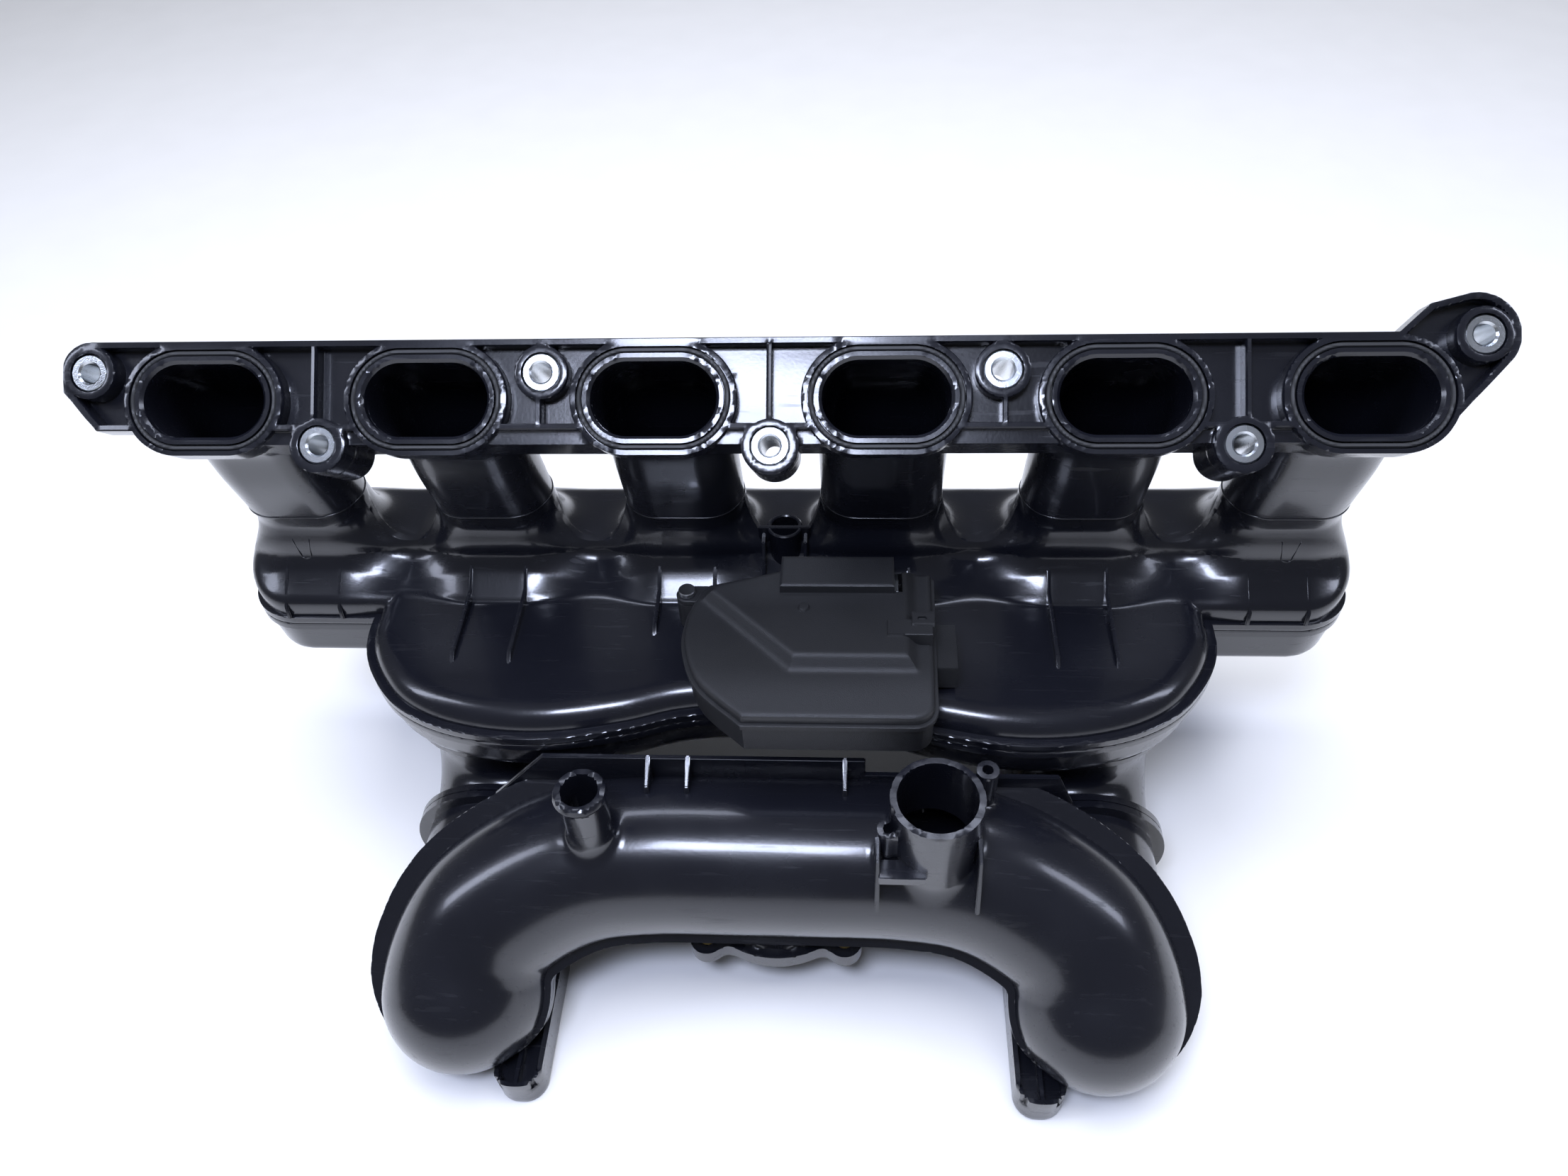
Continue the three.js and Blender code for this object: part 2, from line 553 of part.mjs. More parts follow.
// Room for the other half where a foot would reach past the weld plane.
function crossoverUpperEnvelope() {
  const reach = sweep(disc(TUBE_RADIUS + TUBE_RIM + GAP), crossoverCurve(), TUBE_STEPS, SIDES / 2);
  const grown = join(reach, ball(-ELBOW_X, TUBE_RADIUS + GAP), ball(ELBOW_X, TUBE_RADIUS + GAP));
  const front = TUBE_DEPTH - GAP / 2;
  return grown.intersect(lean(block(-400, 400, -500, 100, front, front + 300)));
}

function inletElbow(x) {
  const y0 = COLLAR_Y + GAP;
  const z0 = ARM_END.z;
  const path = new THREE.CurvePath();
  const bendStart = new THREE.Vector3(x, ELBOW_TOP_Y - ELBOW_BEND, z0);
  const bendEnd = new THREE.Vector3(x, ELBOW_TOP_Y, z0 + ELBOW_BEND);
  const k = 0.5523 * ELBOW_BEND;
  path.add(new THREE.LineCurve3(new THREE.Vector3(x, y0, z0), bendStart));
  path.add(new THREE.CubicBezierCurve3(
    bendStart,
    new THREE.Vector3(x, bendStart.y + k, z0),
    new THREE.Vector3(x, ELBOW_TOP_Y, bendEnd.z - k),
    bendEnd,
  ));
  path.add(new THREE.LineCurve3(bendEnd, new THREE.Vector3(x, ELBOW_TOP_Y, TRAY_FLOOR - GAP)));
  const outer = sweep(disc(TUBE_RADIUS), path, 9, SIDES / 2);
  const inner = sweep(disc(TUBE_RADIUS - WALL), path, 9, SIDES / 2);
  const collarPath = new THREE.LineCurve3(new THREE.Vector3(x, y0, z0), new THREE.Vector3(x, y0 + COLLAR_THICKNESS, z0));
  const flat = block(-400, 400, -400, 400, BENCH_Z, 0);
  const collar = sweep(disc(COLLAR_RADIUS), collarPath, 1, SIDES / 2).intersect(flat);
  const rim = bar(x, ELBOW_TOP_Y, COLLAR_RADIUS, TRAY_FLOOR - GAP - COLLAR_THICKNESS, TRAY_FLOOR - GAP);
  const bores = [bar(x, ELBOW_TOP_Y, TUBE_RADIUS - WALL, -200, -100)];
  const mouth = new THREE.LineCurve3(new THREE.Vector3(x, y0 - 2, z0), new THREE.Vector3(x, y0 + 8, z0));
  bores.push(sweep(disc(TUBE_RADIUS - WALL), mouth, 1, SIDES / 2));
  return cut(join(outer, collar, rim), inner, ...bores);
}

function throttleSeal() {
  return ring(THROTTLE_X, THROTTLE_Y, 43 - GAP, 40 + GAP, THROTTLE_FLANGE_Z + GAP, THROTTLE_FLANGE_Z + 2.6 - GAP);
}

function threadedInsert(length) {
  return ring(0, 0, INSERT_RADIUS, INSERT_BORE, 0, length);
}

// ---- tuning actuator ------------------------------------------------------------------------

function boxOutline() {
  const shape = new THREE.Shape();
  shape.moveTo(-14, -89);
  shape.lineTo(64, -89);
  shape.absarc(66, -79, 10, -Math.PI / 2, 0, false);
  shape.lineTo(77, 3);
  shape.lineTo(2, 5);
  shape.lineTo(-36, -5);
  shape.quadraticCurveTo(-43, -12, -45, -26);
  shape.quadraticCurveTo(-49, -60, -14, -89);
  return shape;
}

const BOX_EAR = { x: -48, y: -7, radius: 6, reach: 14 };

// A screw ear that reaches back to the box's wall.
function boxEar(z0, z1, grow = 0) {
  const { x, y, radius, reach } = BOX_EAR;
  const arm = block(x, x + reach, y - 4 - grow, y + 4 + grow, z0, z1);
  return join(bar(x, y, radius + grow, z0, z1), arm);
}

function boxEarHole(z0) {
  return bar(BOX_EAR.x, BOX_EAR.y, 2.2 + GAP, z0, 0);
}

function actuatorBase() {
  const shell = cut(
    slab(boxOutline(), BOX_BASE_Z, BOX_SPLIT_Z - GAP / 2, { roll: 1 }),
    slab(boxOutline(), BOX_BASE_Z + BOX_WALL, BOX_SPLIT_Z + 5, { grow: -BOX_WALL, roll: 1 }),
  );
  const ear = boxEar(BOX_BASE_Z, BOX_SPLIT_Z - GAP / 2);
  const clear = slab(boxOutline(), BOX_BASE_Z + BOX_WALL, BOX_SPLIT_Z + 5, { grow: -BOX_WALL, roll: 1 });
  const shaftHole = bar(FLAP.x, FLAP.y, FLAP.shaft + 2 + GAP, BOX_BASE_Z - 1, BOX_BASE_Z + 10);
  const pinSocket = bar(WHEEL_PIN.x, WHEEL_PIN.y, 3.4, BOX_BASE_Z + 1, BOX_BASE_Z + 5);
  const pinHole = bar(WHEEL_PIN.x, WHEEL_PIN.y, PIN_RADIUS + GAP, BOX_BASE_Z + 1.2, 0);
  const cradle = block(MOTOR.x0 + 2, MOTOR.x1 - 2, MOTOR.y - 8, MOTOR.y + 8, BOX_BASE_Z + 1, MOTOR.z - 8);
  const motorRoom = motorForm(GAP);
  const plug = cut(block(74, 88, -52, -24, BOX_BASE_Z + 2, BOX_SPLIT_Z - GAP / 2), block(80, 90, -49, -27, BOX_BASE_Z + 4, BOX_SPLIT_Z - 2));
  const pinHoles = [-1, 0, 1].map((i) => connectorPin(i, GAP));
  const solids = join(cut(join(shell, ear), clear), cradle, pinSocket, plug);
  return cut(solids, shaftHole, pinHole, motorRoom, boxEarHole(BOX_BASE_Z - 1), ...pinHoles);
}

function motorForm(grow) {
  const path = new THREE.LineCurve3(
    new THREE.Vector3(MOTOR.x0 - grow, MOTOR.y, MOTOR.z),
    new THREE.Vector3(MOTOR.x1 + grow, MOTOR.y, MOTOR.z),
  );
  return solid(new THREE.ExtrudeGeometry(disc(MOTOR_RADIUS + grow), { steps: 1, extrudePath: path, curveSegments: SIDES / 2 }));
}

// A round bar along X, centred on the motor's axis.
function axle(radius, x0, x1, sides = SIDES) {
  const geometry = new THREE.CylinderGeometry(radius, radius, x1 - x0, sides);
  geometry.rotateZ(Math.PI / 2);
  geometry.translate((x0 + x1) / 2, MOTOR.y, MOTOR.z);
  return solid(geometry);
}

function actuatorCover() {
  const outer = slab(boxOutline(), BOX_SPLIT_Z - 6, BOX_TOP_Z, { roll: 3, segments: 2 });
  const inner = slab(boxOutline(), BOX_SPLIT_Z - 8, BOX_TOP_Z - BOX_WALL, { grow: -BOX_WALL, roll: 2 });
  const above = block(-200, 200, -200, 200, BOX_SPLIT_Z + GAP / 2, 0);
  const rim = slab(boxOutline(), BOX_SPLIT_Z + GAP / 2, BOX_SPLIT_Z + 3, { grow: 2 });
  const bump = axle(MOTOR_RADIUS + 3.2, MOTOR.x0 - 22, MOTOR.x1 + 2).intersect(above);
  const bumpRoom = axle(MOTOR_RADIUS + 1, MOTOR.x0 - 20, MOTOR.x1 + 0.6);
  const ear = boxEar(BOX_SPLIT_Z + GAP / 2, BOX_SPLIT_Z + 3);
  const pinHole = bar(WHEEL_PIN.x, WHEEL_PIN.y, PIN_RADIUS + GAP, -200, 0);
  const inside = join(inner.intersect(block(-200, 200, -200, 200, BOX_SPLIT_Z - 10, 0)), bumpRoom);
  return cut(join(outer.intersect(above), rim, bump, ear), inside, pinHole, boxEarHole(-200));
}

function actuatorScrew() {
  const shank = bar(0, 0, 2.2, BOX_BASE_Z + 1, BOX_SPLIT_Z + 4);
  return join(shank, bar(0, 0, 4.4, BOX_SPLIT_Z + 3 + GAP, BOX_SPLIT_Z + 6.5));
}

function wheelPin() {
  return bar(WHEEL_PIN.x, WHEEL_PIN.y, PIN_RADIUS, BOX_BASE_Z + 1.5, BOX_TOP_Z + 0.3);
}

function rootRadius(teeth) {
  return (GEAR_MODULE * teeth) / 2 - 1.15 * GEAR_MODULE;
}

// Straight-flanked teeth that stand on the root circle, from the first number up to the last.
function gearTeeth(teeth, z0, z1, from = 0, to = teeth) {
  const root = rootRadius(teeth);
  const tip = root + 1.9 * GEAR_MODULE;
  const profile = polygon([[root - 0.6, -0.85], [tip, -0.3], [tip, 0.3], [root - 0.6, 0.85]]);
  const parts = [];
  for (let tooth = from; tooth < to; tooth++) {
    const turn = (tooth * 360) / teeth;
    parts.push(plate(profile, z0, z1).rotate([0, 0, turn]));
  }
  return join(...parts);
}

const GEAR_LINE = THREE.MathUtils.radToDeg(Math.atan2(FLAP.y - WHEEL_PIN.y, FLAP.x - WHEEL_PIN.x));
const WHEEL_Z = [-122.5, -115.5];
const SECTOR_Z = [-134, -130];

function wormWheel() {
  const z0 = SECTOR_Z[0] - 0.5;
  const z1 = WHEEL_Z[0] + 1;
  const wheel = join(bar(0, 0, rootRadius(WHEEL_TEETH), ...WHEEL_Z, WHEEL_TEETH), gearTeeth(WHEEL_TEETH, ...WHEEL_Z));
  const pinion = join(bar(0, 0, rootRadius(PINION_TEETH), z0, z1, 2 * PINION_TEETH), gearTeeth(PINION_TEETH, z0, z1));
  const bore = bar(0, 0, PIN_RADIUS + GAP, -200, 0);
  return cut(join(wheel, pinion.rotate([0, 0, GEAR_LINE])), bore).translate([WHEEL_PIN.x, WHEEL_PIN.y, 0]);
}

// The sector meshes near one end of its teeth at rest and near the other end after a quarter turn.
function sectorGear() {
  const count = Math.round((SECTOR_TEETH * SECTOR_ANGLE) / 360);
  const last = 2;
  const first = last - count;
  const pitchAngle = (Math.PI * 2) / SECTOR_TEETH;
  const root = rootRadius(SECTOR_TEETH);
  const from = (first - 0.5) * pitchAngle;
  const shape = new THREE.Shape();
  shape.moveTo(0, 0);
  shape.lineTo(root * Math.cos(from), root * Math.sin(from));
  shape.absarc(0, 0, root, from, (last - 0.5) * pitchAngle, false);
  const web = plate(shape, ...SECTOR_Z, 14);
  const hub = bar(0, 0, FLAP.shaft + 4, SECTOR_Z[0] - 1, SECTOR_Z[1] + 4);
  const whole = join(web, gearTeeth(SECTOR_TEETH, ...SECTOR_Z, first, last), hub);
  const facing = whole.rotate([0, 0, GEAR_LINE + 180 + 180 / SECTOR_TEETH]);
  return cut(facing, bar(0, 0, FLAP.shaft + GAP, -200, 0)).translate([FLAP.x, FLAP.y, 0]);
}

function motorShaft() {
  const worm = axle(2.9, 5, 22);
  return join(worm, axle(1.5, 3, MOTOR.x0 - GAP));
}

function motorCan() {
  return motorForm(0);
}

function connectorPin(index, grow = 0) {
  const y = -38 + index * 6;
  return block(70 - grow, 84 + grow, y - 0.8 - grow, y + 0.8 + grow, -133 - grow, -131.4 + grow);
}

// ---- flap -----------------------------------------------------------------------------------

function flapShaft() {
  return bar(FLAP.x, FLAP.y, FLAP.shaft, TRAY_FLOOR + WALL + 2, SECTOR_Z[1] + 5);
}

function flapPlate() {
  const { x, y, halfWidth, thickness } = FLAP;
  const blade = block(x - thickness / 2, x + thickness / 2, y - halfWidth, y + halfWidth, FLAP.bottom, FLAP.top);
  const barrel = bar(x, y, FLAP.shaft + 2, FLAP.bottom, FLAP.top);
  return cut(join(blade, barrel), bar(x, y, FLAP.shaft + GAP, -300, 0));
}

function flapBush(z0, z1) {
  return ring(FLAP.x, FLAP.y, BUSH_RADIUS, FLAP.shaft + GAP, z0, z1);
}

// ---- materials and assembly -----------------------------------------------------------------

const nylon = { color: 0x0d0f14, roughness: 0.28, metalness: 0 };
const charcoal = { color: 0x1b1c1e, roughness: 0.62, metalness: 0 };
const zincSteel = { color: 0xb9bec4, roughness: 0.3, metalness: 1 };
const steel = { color: 0x8f9296, roughness: 0.35, metalness: 1 };
const brass = { color: 0xb08d3f, roughness: 0.35, metalness: 1 };
const rubber = { color: 0x2a2b2d, roughness: 0.8, metalness: 0 };
const acetal = { color: 0xd9d5c8, roughness: 0.45, metalness: 0 };

const manifold = new THREE.Group();

function piece(name, body, look, parent = manifold) {
  const mesh = new THREE.Mesh(geometryOf(body), new THREE.MeshStandardMaterial(look));
  mesh.name = name;
  parent.add(mesh);
  return mesh;
}

piece("head_flange", headFlange(), nylon);
piece("plenum_upper_shell", plenumUpper(), nylon);
piece("plenum_lower_shell", plenumLower(), nylon);
piece("crossover_upper_shell", crossoverUpper(), nylon);
piece("crossover_lower_shell", crossoverLower(), nylon);
piece("inlet_elbow_left", inletElbow(-ELBOW_X), nylon);
piece("inlet_elbow_right", inletElbow(ELBOW_X), nylon);
piece("plenum_divider", plenumDivider(), nylon);

const flangeFrame = new THREE.Group();
flangeFrame.rotation.x = FLANGE_TILT;
manifold.add(flangeFrame);
PORTS.forEach((x, i) => {
  piece(`port_seal_${i + 1}`, portSeal(), rubber, flangeFrame).position.set(x, 0, 0);
});
BOSS_SPOTS.forEach(([x, y], i) => {
  piece(`flange_sleeve_${i + 1}`, sleeve(SLEEVE_LENGTH), zincSteel, flangeFrame).position.set(x, y, 0);
});

throttleCorners().forEach(([x, y], i) => {
  const insert = piece(`throttle_insert_${i + 1}`, threadedInsert(THROTTLE_FLANGE_THICKNESS), brass);
  insert.position.set(x, y, THROTTLE_FLANGE_Z);
});
piece("throttle_seal", throttleSeal(), rubber);

piece("actuator_base", actuatorBase(), charcoal);
piece("actuator_cover", actuatorCover(), charcoal);
piece("actuator_screw", actuatorScrew(), steel).position.set(BOX_EAR.x, BOX_EAR.y, 0);
piece("motor_can", motorCan(), zincSteel);
piece("motor_worm_shaft", motorShaft(), steel);
piece("wheel_pin", wheelPin(), steel);
piece("worm_wheel", wormWheel(), acetal);
piece("sector_gear", sectorGear(), acetal);
[-1, 0, 1].forEach((i) => piece(`connector_pin_${i + 2}`, connectorPin(i), brass));

piece("flap_shaft", flapShaft(), steel);
piece("flap_plate", flapPlate(), nylon);
piece("flap_bush_upper", flapBush(-148, LOBE_TOP), acetal);
piece("flap_bush_lower", flapBush(TRAY_FLOOR + WALL + 1.5, FLAP.bottom - 0.5), acetal);

export default manifold;
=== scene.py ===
# %% [markdown]
# # Intake manifold: the finished look
# The solids from CAD fix every size. Here each moulding gets its real smooth skin, with fillets, rolled
# edges, ribs, weld lips and procedural finishes. Lengths are millimetres until a mesh is made.

import json
import math

import bmesh
import bpy
import numpy as np
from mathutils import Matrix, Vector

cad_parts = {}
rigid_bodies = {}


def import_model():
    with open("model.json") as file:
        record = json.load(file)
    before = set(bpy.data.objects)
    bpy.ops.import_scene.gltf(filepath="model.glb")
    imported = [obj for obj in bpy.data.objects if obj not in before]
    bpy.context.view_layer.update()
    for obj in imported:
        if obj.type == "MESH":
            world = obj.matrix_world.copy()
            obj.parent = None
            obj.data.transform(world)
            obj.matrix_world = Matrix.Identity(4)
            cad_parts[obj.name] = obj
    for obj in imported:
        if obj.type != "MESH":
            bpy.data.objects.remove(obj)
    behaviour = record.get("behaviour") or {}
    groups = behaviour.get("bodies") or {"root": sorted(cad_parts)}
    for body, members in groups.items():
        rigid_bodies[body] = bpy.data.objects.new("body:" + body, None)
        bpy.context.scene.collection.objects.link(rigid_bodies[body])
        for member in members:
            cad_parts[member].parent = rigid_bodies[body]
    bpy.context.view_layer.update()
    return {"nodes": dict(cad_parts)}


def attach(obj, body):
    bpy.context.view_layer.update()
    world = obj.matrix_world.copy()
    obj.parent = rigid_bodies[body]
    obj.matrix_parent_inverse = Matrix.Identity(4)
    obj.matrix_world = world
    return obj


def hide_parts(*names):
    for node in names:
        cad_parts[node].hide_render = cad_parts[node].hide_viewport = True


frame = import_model()
print("CAD nodes:", len(frame["nodes"]))

# %% [markdown]
# ## Driving sizes
# The same numbers as the CAD part: the port row, the plenum, the crossover and the actuator box.

# %%
PITCH = 103.6
PORTS = [(i - 2.5) * PITCH for i in range(6)]
TILT = math.radians(42)
PORT_HALF_STRAIGHT = 11.7
PORT_RADIUS = 16.8
WALL = 3.0
HIDDEN_WALL = 4.6  # where nobody sees the inner face
BOLTS = [
    (-312.8, 12.8), (-204.7, -20.5), (-102.3, 11.8), (0.6, -21.4),
    (102.5, 11.8), (205.2, -21.1), (305.2, 25.5),
]
BOSS_RADIUS = 12.3
SEAL_MIDDLE = 4.9  # from a port's edge to the middle of its seal groove
SEAM_Z = -95.0
LIP_Z = -156.0
BODY = dict(half=298.0, front=6.0, rear=92.0, corner=26.0, top=-128.0, roll=14.0)
LOBE_TOP = -141.0
TRAY_FLOOR = -184.0
TRAY_INSET = -2.5
FOOT_TOP = -106.0  # below this each runner goes straight down into the body
TUBE_RADIUS = 40.5
TUBE_DEPTH = -84.0
TUBE_UP = -218.0
ARM_DROP = 72.0
ELBOW_X = 161.0
COLLAR_Y = -70.0
COLLAR_RADIUS = 47.0
SPOUT = (-88.3, -117.6, -135.0)  # centre and mouth level
SOCKET = (76.5, -118.0, -135.0)
SOCKET_EARS = [(54.5, -126), (102, -93)]
THROTTLE = (-2.0, -95.0)
THROTTLE_FACE = -262.0
THROTTLE_BOLT = 36.0  # half of the bolt square
FLAP_SHAFT = (-16.13, -29.0)
WHEEL_PIN = (13.3, -27.0)
BENCH_Z = TUBE_DEPTH * math.cos(TILT) + (TUBE_UP - ARM_DROP) * math.sin(TILT) - TUBE_RADIUS
ARM_Y = (TUBE_UP - ARM_DROP) * math.cos(TILT) - TUBE_DEPTH * math.sin(TILT)
ARM_Z = BENCH_Z + TUBE_RADIUS
print("bench level", round(BENCH_Z, 1), "arm ends", round(ARM_Y, 1), round(ARM_Z, 1))

# %% [markdown]
# ## Smooth solids
# A shape is a function that gives each point's distance to the shape's surface, negative inside. Shapes
# blend with `soft_join`, and `skin` lays a mesh over the zero surface, with vertices drawn to its edges.


# %%
def soft_join(a, b, radius):
    near = np.maximum(radius - np.abs(a - b), 0) / radius
    return np.minimum(a, b) - near * near * radius / 4


def soft_cut(a, b, radius):
    return -soft_join(-a, b, radius)


def rolled(plan, height, radius):
    """A plan outline under a top level, with the edge between them rolled over."""
    a, b = plan + radius, height + radius
    return np.minimum(np.maximum(a, b), 0) + np.hypot(np.maximum(a, 0), np.maximum(b, 0)) - radius


def spline(points, per=10):
    """A Catmull-Rom line through the points."""
    p = np.asarray(points, float)
    p = np.vstack([2 * p[0] - p[1], p, 2 * p[-1] - p[-2]])
    t = np.linspace(0, 1, per, endpoint=False)[:, None]
    out = []
    for i in range(1, len(p) - 2):
        a, b, c, d = p[i - 1], p[i], p[i + 1], p[i + 2]
        square, cube = 2 * a - 5 * b + 4 * c - d, 3 * b - a - 3 * c + d
        out.append(0.5 * (2 * b + (c - a) * t + square * t**2 + cube * t**3))
    return np.vstack(out + [p[-2:-1]])


def arc(cx, cy, radius, start, end, steps=12):
    a = np.radians(np.linspace(start, end, steps))
    return np.stack([cx + radius * np.cos(a), cy + radius * np.sin(a)], 1)


def line_distance(px, py, points, closed=False):
    """Distance from each point to a line of segments, signed if the line is closed."""
    best = np.full(px.shape, 1e9)
    inside = np.zeros(px.shape, bool)
    pts = np.asarray(points, float)
    ends = np.roll(pts, -1, 0) if closed else pts[1:]
    for (x0, y0), (x1, y1) in zip(pts if closed else pts[:-1], ends):
        dx, dy = x1 - x0, y1 - y0
        t = np.clip(((px - x0) * dx + (py - y0) * dy) / max(dx * dx + dy * dy, 1e-12), 0, 1)
        best = np.minimum(best, (px - x0 - t * dx) ** 2 + (py - y0 - t * dy) ** 2)
        if closed and y0 != y1:
            crosses = (y0 > py) != (y1 > py)
            inside ^= crosses & (px < x0 + (py - y0) * dx / dy)
    best = np.sqrt(best)
    return np.where(inside, -best, best) if closed else best


class Plan:
    """A flat outline's distance, worked out once on a fine grid and then read between its points."""

    def __init__(self, points, lo, hi, step=0.75, closed=True):
        self.lo, self.step = np.asarray(lo, float), step
        n = [int((hi[k] - lo[k]) / step) + 2 for k in (0, 1)]
        gx, gy = np.meshgrid(lo[0] + step * np.arange(n[0]), lo[1] + step * np.arange(n[1]), indexing="ij")
        self.grid = line_distance(gx, gy, points, closed)

    def __call__(self, x, y):
        u, v = (x - self.lo[0]) / self.step, (y - self.lo[1]) / self.step
        i = np.clip(u.astype(int), 0, self.grid.shape[0] - 2)
        j = np.clip(v.astype(int), 0, self.grid.shape[1] - 2)
        fu, fv = np.clip(u - i, 0, 1), np.clip(v - j, 0, 1)
        g = self.grid
        low = g[i, j] * (1 - fu) + g[i + 1, j] * fu
        high = g[i, j + 1] * (1 - fu) + g[i + 1, j + 1] * fu
        return low * (1 - fv) + high * fv


def level_values(field, lo, shape, step):
    """The field on a grid, worked out point by point only near the surface."""
    block = 6
    nb = [-(-s // block) for s in shape]
    middles = [np.arange(n) * block + (block - 1) / 2 for n in nb]
    centres = np.stack(np.meshgrid(*middles, indexing="ij"), -1)
    rough = field(lo + centres.reshape(-1, 3) * step).reshape(nb)
    near = np.abs(rough) < 0.62 * block * np.linalg.norm(step) + 2
    values = np.repeat(np.repeat(np.repeat(rough, block, 0), block, 1), block, 2)
    six = values.reshape(nb[0], block, nb[1], block, nb[2], block)
    local = np.stack(np.meshgrid(*[np.arange(block)] * 3, indexing="ij"), -1).reshape(-1, 3)
    spots = np.argwhere(near)
    for at in range(0, len(spots), 1500):
        part = spots[at : at + 1500]
        points = lo + (part[:, None, :] * block + local[None]) * step
        found = field(points.reshape(-1, 3)).reshape(len(part), block, block, block)
        six[part[:, 0], :, part[:, 1], :, part[:, 2], :] = found
    return values


def gradient(field, points, eps=0.15):
    g = np.empty_like(points)
    for k in range(3):
        shift = np.zeros(3)
        shift[k] = eps
        g[:, k] = field(points + shift) - field(points - shift)
    return g / np.maximum(np.linalg.norm(g, axis=1, keepdims=True), 1e-9)


def surface(field, lo, hi, step):
    """Vertices and four-sided faces over the field's zero surface, with sharp edges kept."""
    lo, hi = np.asarray(lo, float), np.asarray(hi, float)
    step = np.broadcast_to(np.asarray(step, float), 3)
    shape = np.ceil((hi - lo) / step).astype(int) + 2
    values = level_values(field, lo, shape, step)
    shape = np.array(values.shape)
    inside = values < 0
    cells, hits, normals, rests, quads, flips = [], [], [], [], [], []
    for axis in range(3):
        a = np.moveaxis(inside, axis, 0)
        found = np.argwhere(a[1:] != a[:-1])
        order = [axis] + [k for k in range(3) if k != axis]
        at = np.empty_like(found)
        for k, o in enumerate(order):
            at[:, o] = found[:, k]
        after = at.copy()
        after[:, axis] += 1
        v0 = values[tuple(at.T)]
        v1 = values[tuple(after.T)]
        p = lo + at * step
        p[:, axis] += step[axis] * v0 / (v0 - v1)
        n = gradient(field, p)
        rest = field(p)
        b, c = (axis + 1) % 3, (axis + 2) % 3
        corner = []
        for db, dc in ((0, 0), (-1, 0), (-1, -1), (0, -1)):
            cell = at.copy()
            cell[:, b] += db
            cell[:, c] += dc
            corner.append(np.ravel_multi_index(tuple(cell.T), tuple(shape)))
            cells.append(corner[-1])
            hits.append(p)
            normals.append(n)
            rests.append(rest)
        quads.append(np.stack(corner, 1))
        flips.append(v0 < v1)
    ids, slot = np.unique(np.concatenate(cells), return_inverse=True)
    p, n, rest = np.concatenate(hits), np.concatenate(normals), np.concatenate(rests)
    count = np.bincount(slot, minlength=len(ids)).astype(float)

    def total(w):
        return np.bincount(slot, weights=w, minlength=len(ids))

    centre = np.stack([total(p[:, k]) / count for k in range(3)], 1)
    offset = np.einsum("ij,ij->i", n, p - centre[slot]) - rest
    matrix = np.empty((len(ids), 3, 3))
    for i in range(3):
        for j in range(3):
            matrix[:, i, j] = total(n[:, i] * n[:, j])
    matrix += np.eye(3) * (0.03 * count)[:, None, None]
    right = np.stack([total(n[:, k] * offset) for k in range(3)], 1)
    moved = np.linalg.solve(matrix, right[..., None])[..., 0]
    cell = np.stack(np.unravel_index(ids, tuple(shape)), 1)
    low = lo + cell * step
    verts = np.clip(centre + moved, low - 0.2 * step, low + 1.2 * step)
    quads = np.searchsorted(ids, np.concatenate(quads))
    flips = np.concatenate(flips)
    quads[~flips] = quads[~flips][:, ::-1]
    return verts, quads


def add_mesh(name, verts, faces, sharp=32.0):
    """A mesh object from millimetre points."""
    mesh = bpy.data.meshes.new(name)
    quads = np.asarray(faces)
    mesh.vertices.add(len(verts))
    mesh.vertices.foreach_set("co", (np.asarray(verts) / 1000).astype(np.float32).ravel())
    mesh.loops.add(quads.size)
    mesh.loops.foreach_set("vertex_index", quads.astype(np.int32).ravel())
    mesh.polygons.add(len(quads))
    mesh.polygons.foreach_set("loop_start", np.arange(0, quads.size, quads.shape[1], dtype=np.int32))
    mesh.update(calc_edges=True)
    mesh.validate()
    mesh.shade_smooth()
    mesh.set_sharp_from_angle(angle=math.radians(sharp))
    obj = bpy.data.objects.new(name, mesh)
    bpy.context.scene.collection.objects.link(obj)
    return obj


def skin(name, field, lo, hi, step, out=None, sharp=32.0):
    """A meshed piece. `out` turns its points into the part's frame."""
    verts, quads = surface(field, lo, hi, step)
    if out is not None:
        verts = out(verts)
    obj = add_mesh(name, verts, quads, sharp)
    print(name, len(quads) * 2, "triangles")
    return obj


def to_flange(p):
    c, s = math.cos(TILT), math.sin(TILT)
    return np.stack([p[:, 0], p[:, 1] * c + p[:, 2] * s, -p[:, 1] * s + p[:, 2] * c], 1)


def from_flange(q):
    c, s = math.cos(TILT), math.sin(TILT)
    return np.stack([q[:, 0], q[:, 1] * c - q[:, 2] * s, q[:, 1] * s + q[:, 2] * c], 1)


def across_port(x):
    """Sideways distance from the nearest port's middle."""
    index = np.clip(np.round(x / PITCH + 2.5), 0, 5)
    return x - (index - 2.5) * PITCH


def between_ports(x):
    """Sideways distance from the nearest middle between two ports."""
    index = np.clip(np.round(x / PITCH), -2, 2)
    return x - index * PITCH


def port_edge(x, up):
    return np.hypot(np.maximum(np.abs(across_port(x)) - PORT_HALF_STRAIGHT, 0), up) - PORT_RADIUS


# %% [markdown]
# ## Shared outlines
# The runners' centre line lies in the YZ plane, so one outline serves all six. The lobes' front edge and
# the crossover's bend are drawn once too.

# %%
STATIONS = [(0, 14), (0, -25), (-3, -45), (-16, -69), (-27, -92), (-37.5, -112), (-53, -119), (-75, -116)]
runner_line = from_flange(np.array([[0, u, n] for u, n in spline(STATIONS, 14)]))[:, 1:]
runner_plan = Plan(runner_line, (-130, -190), (160, 60), closed=False)

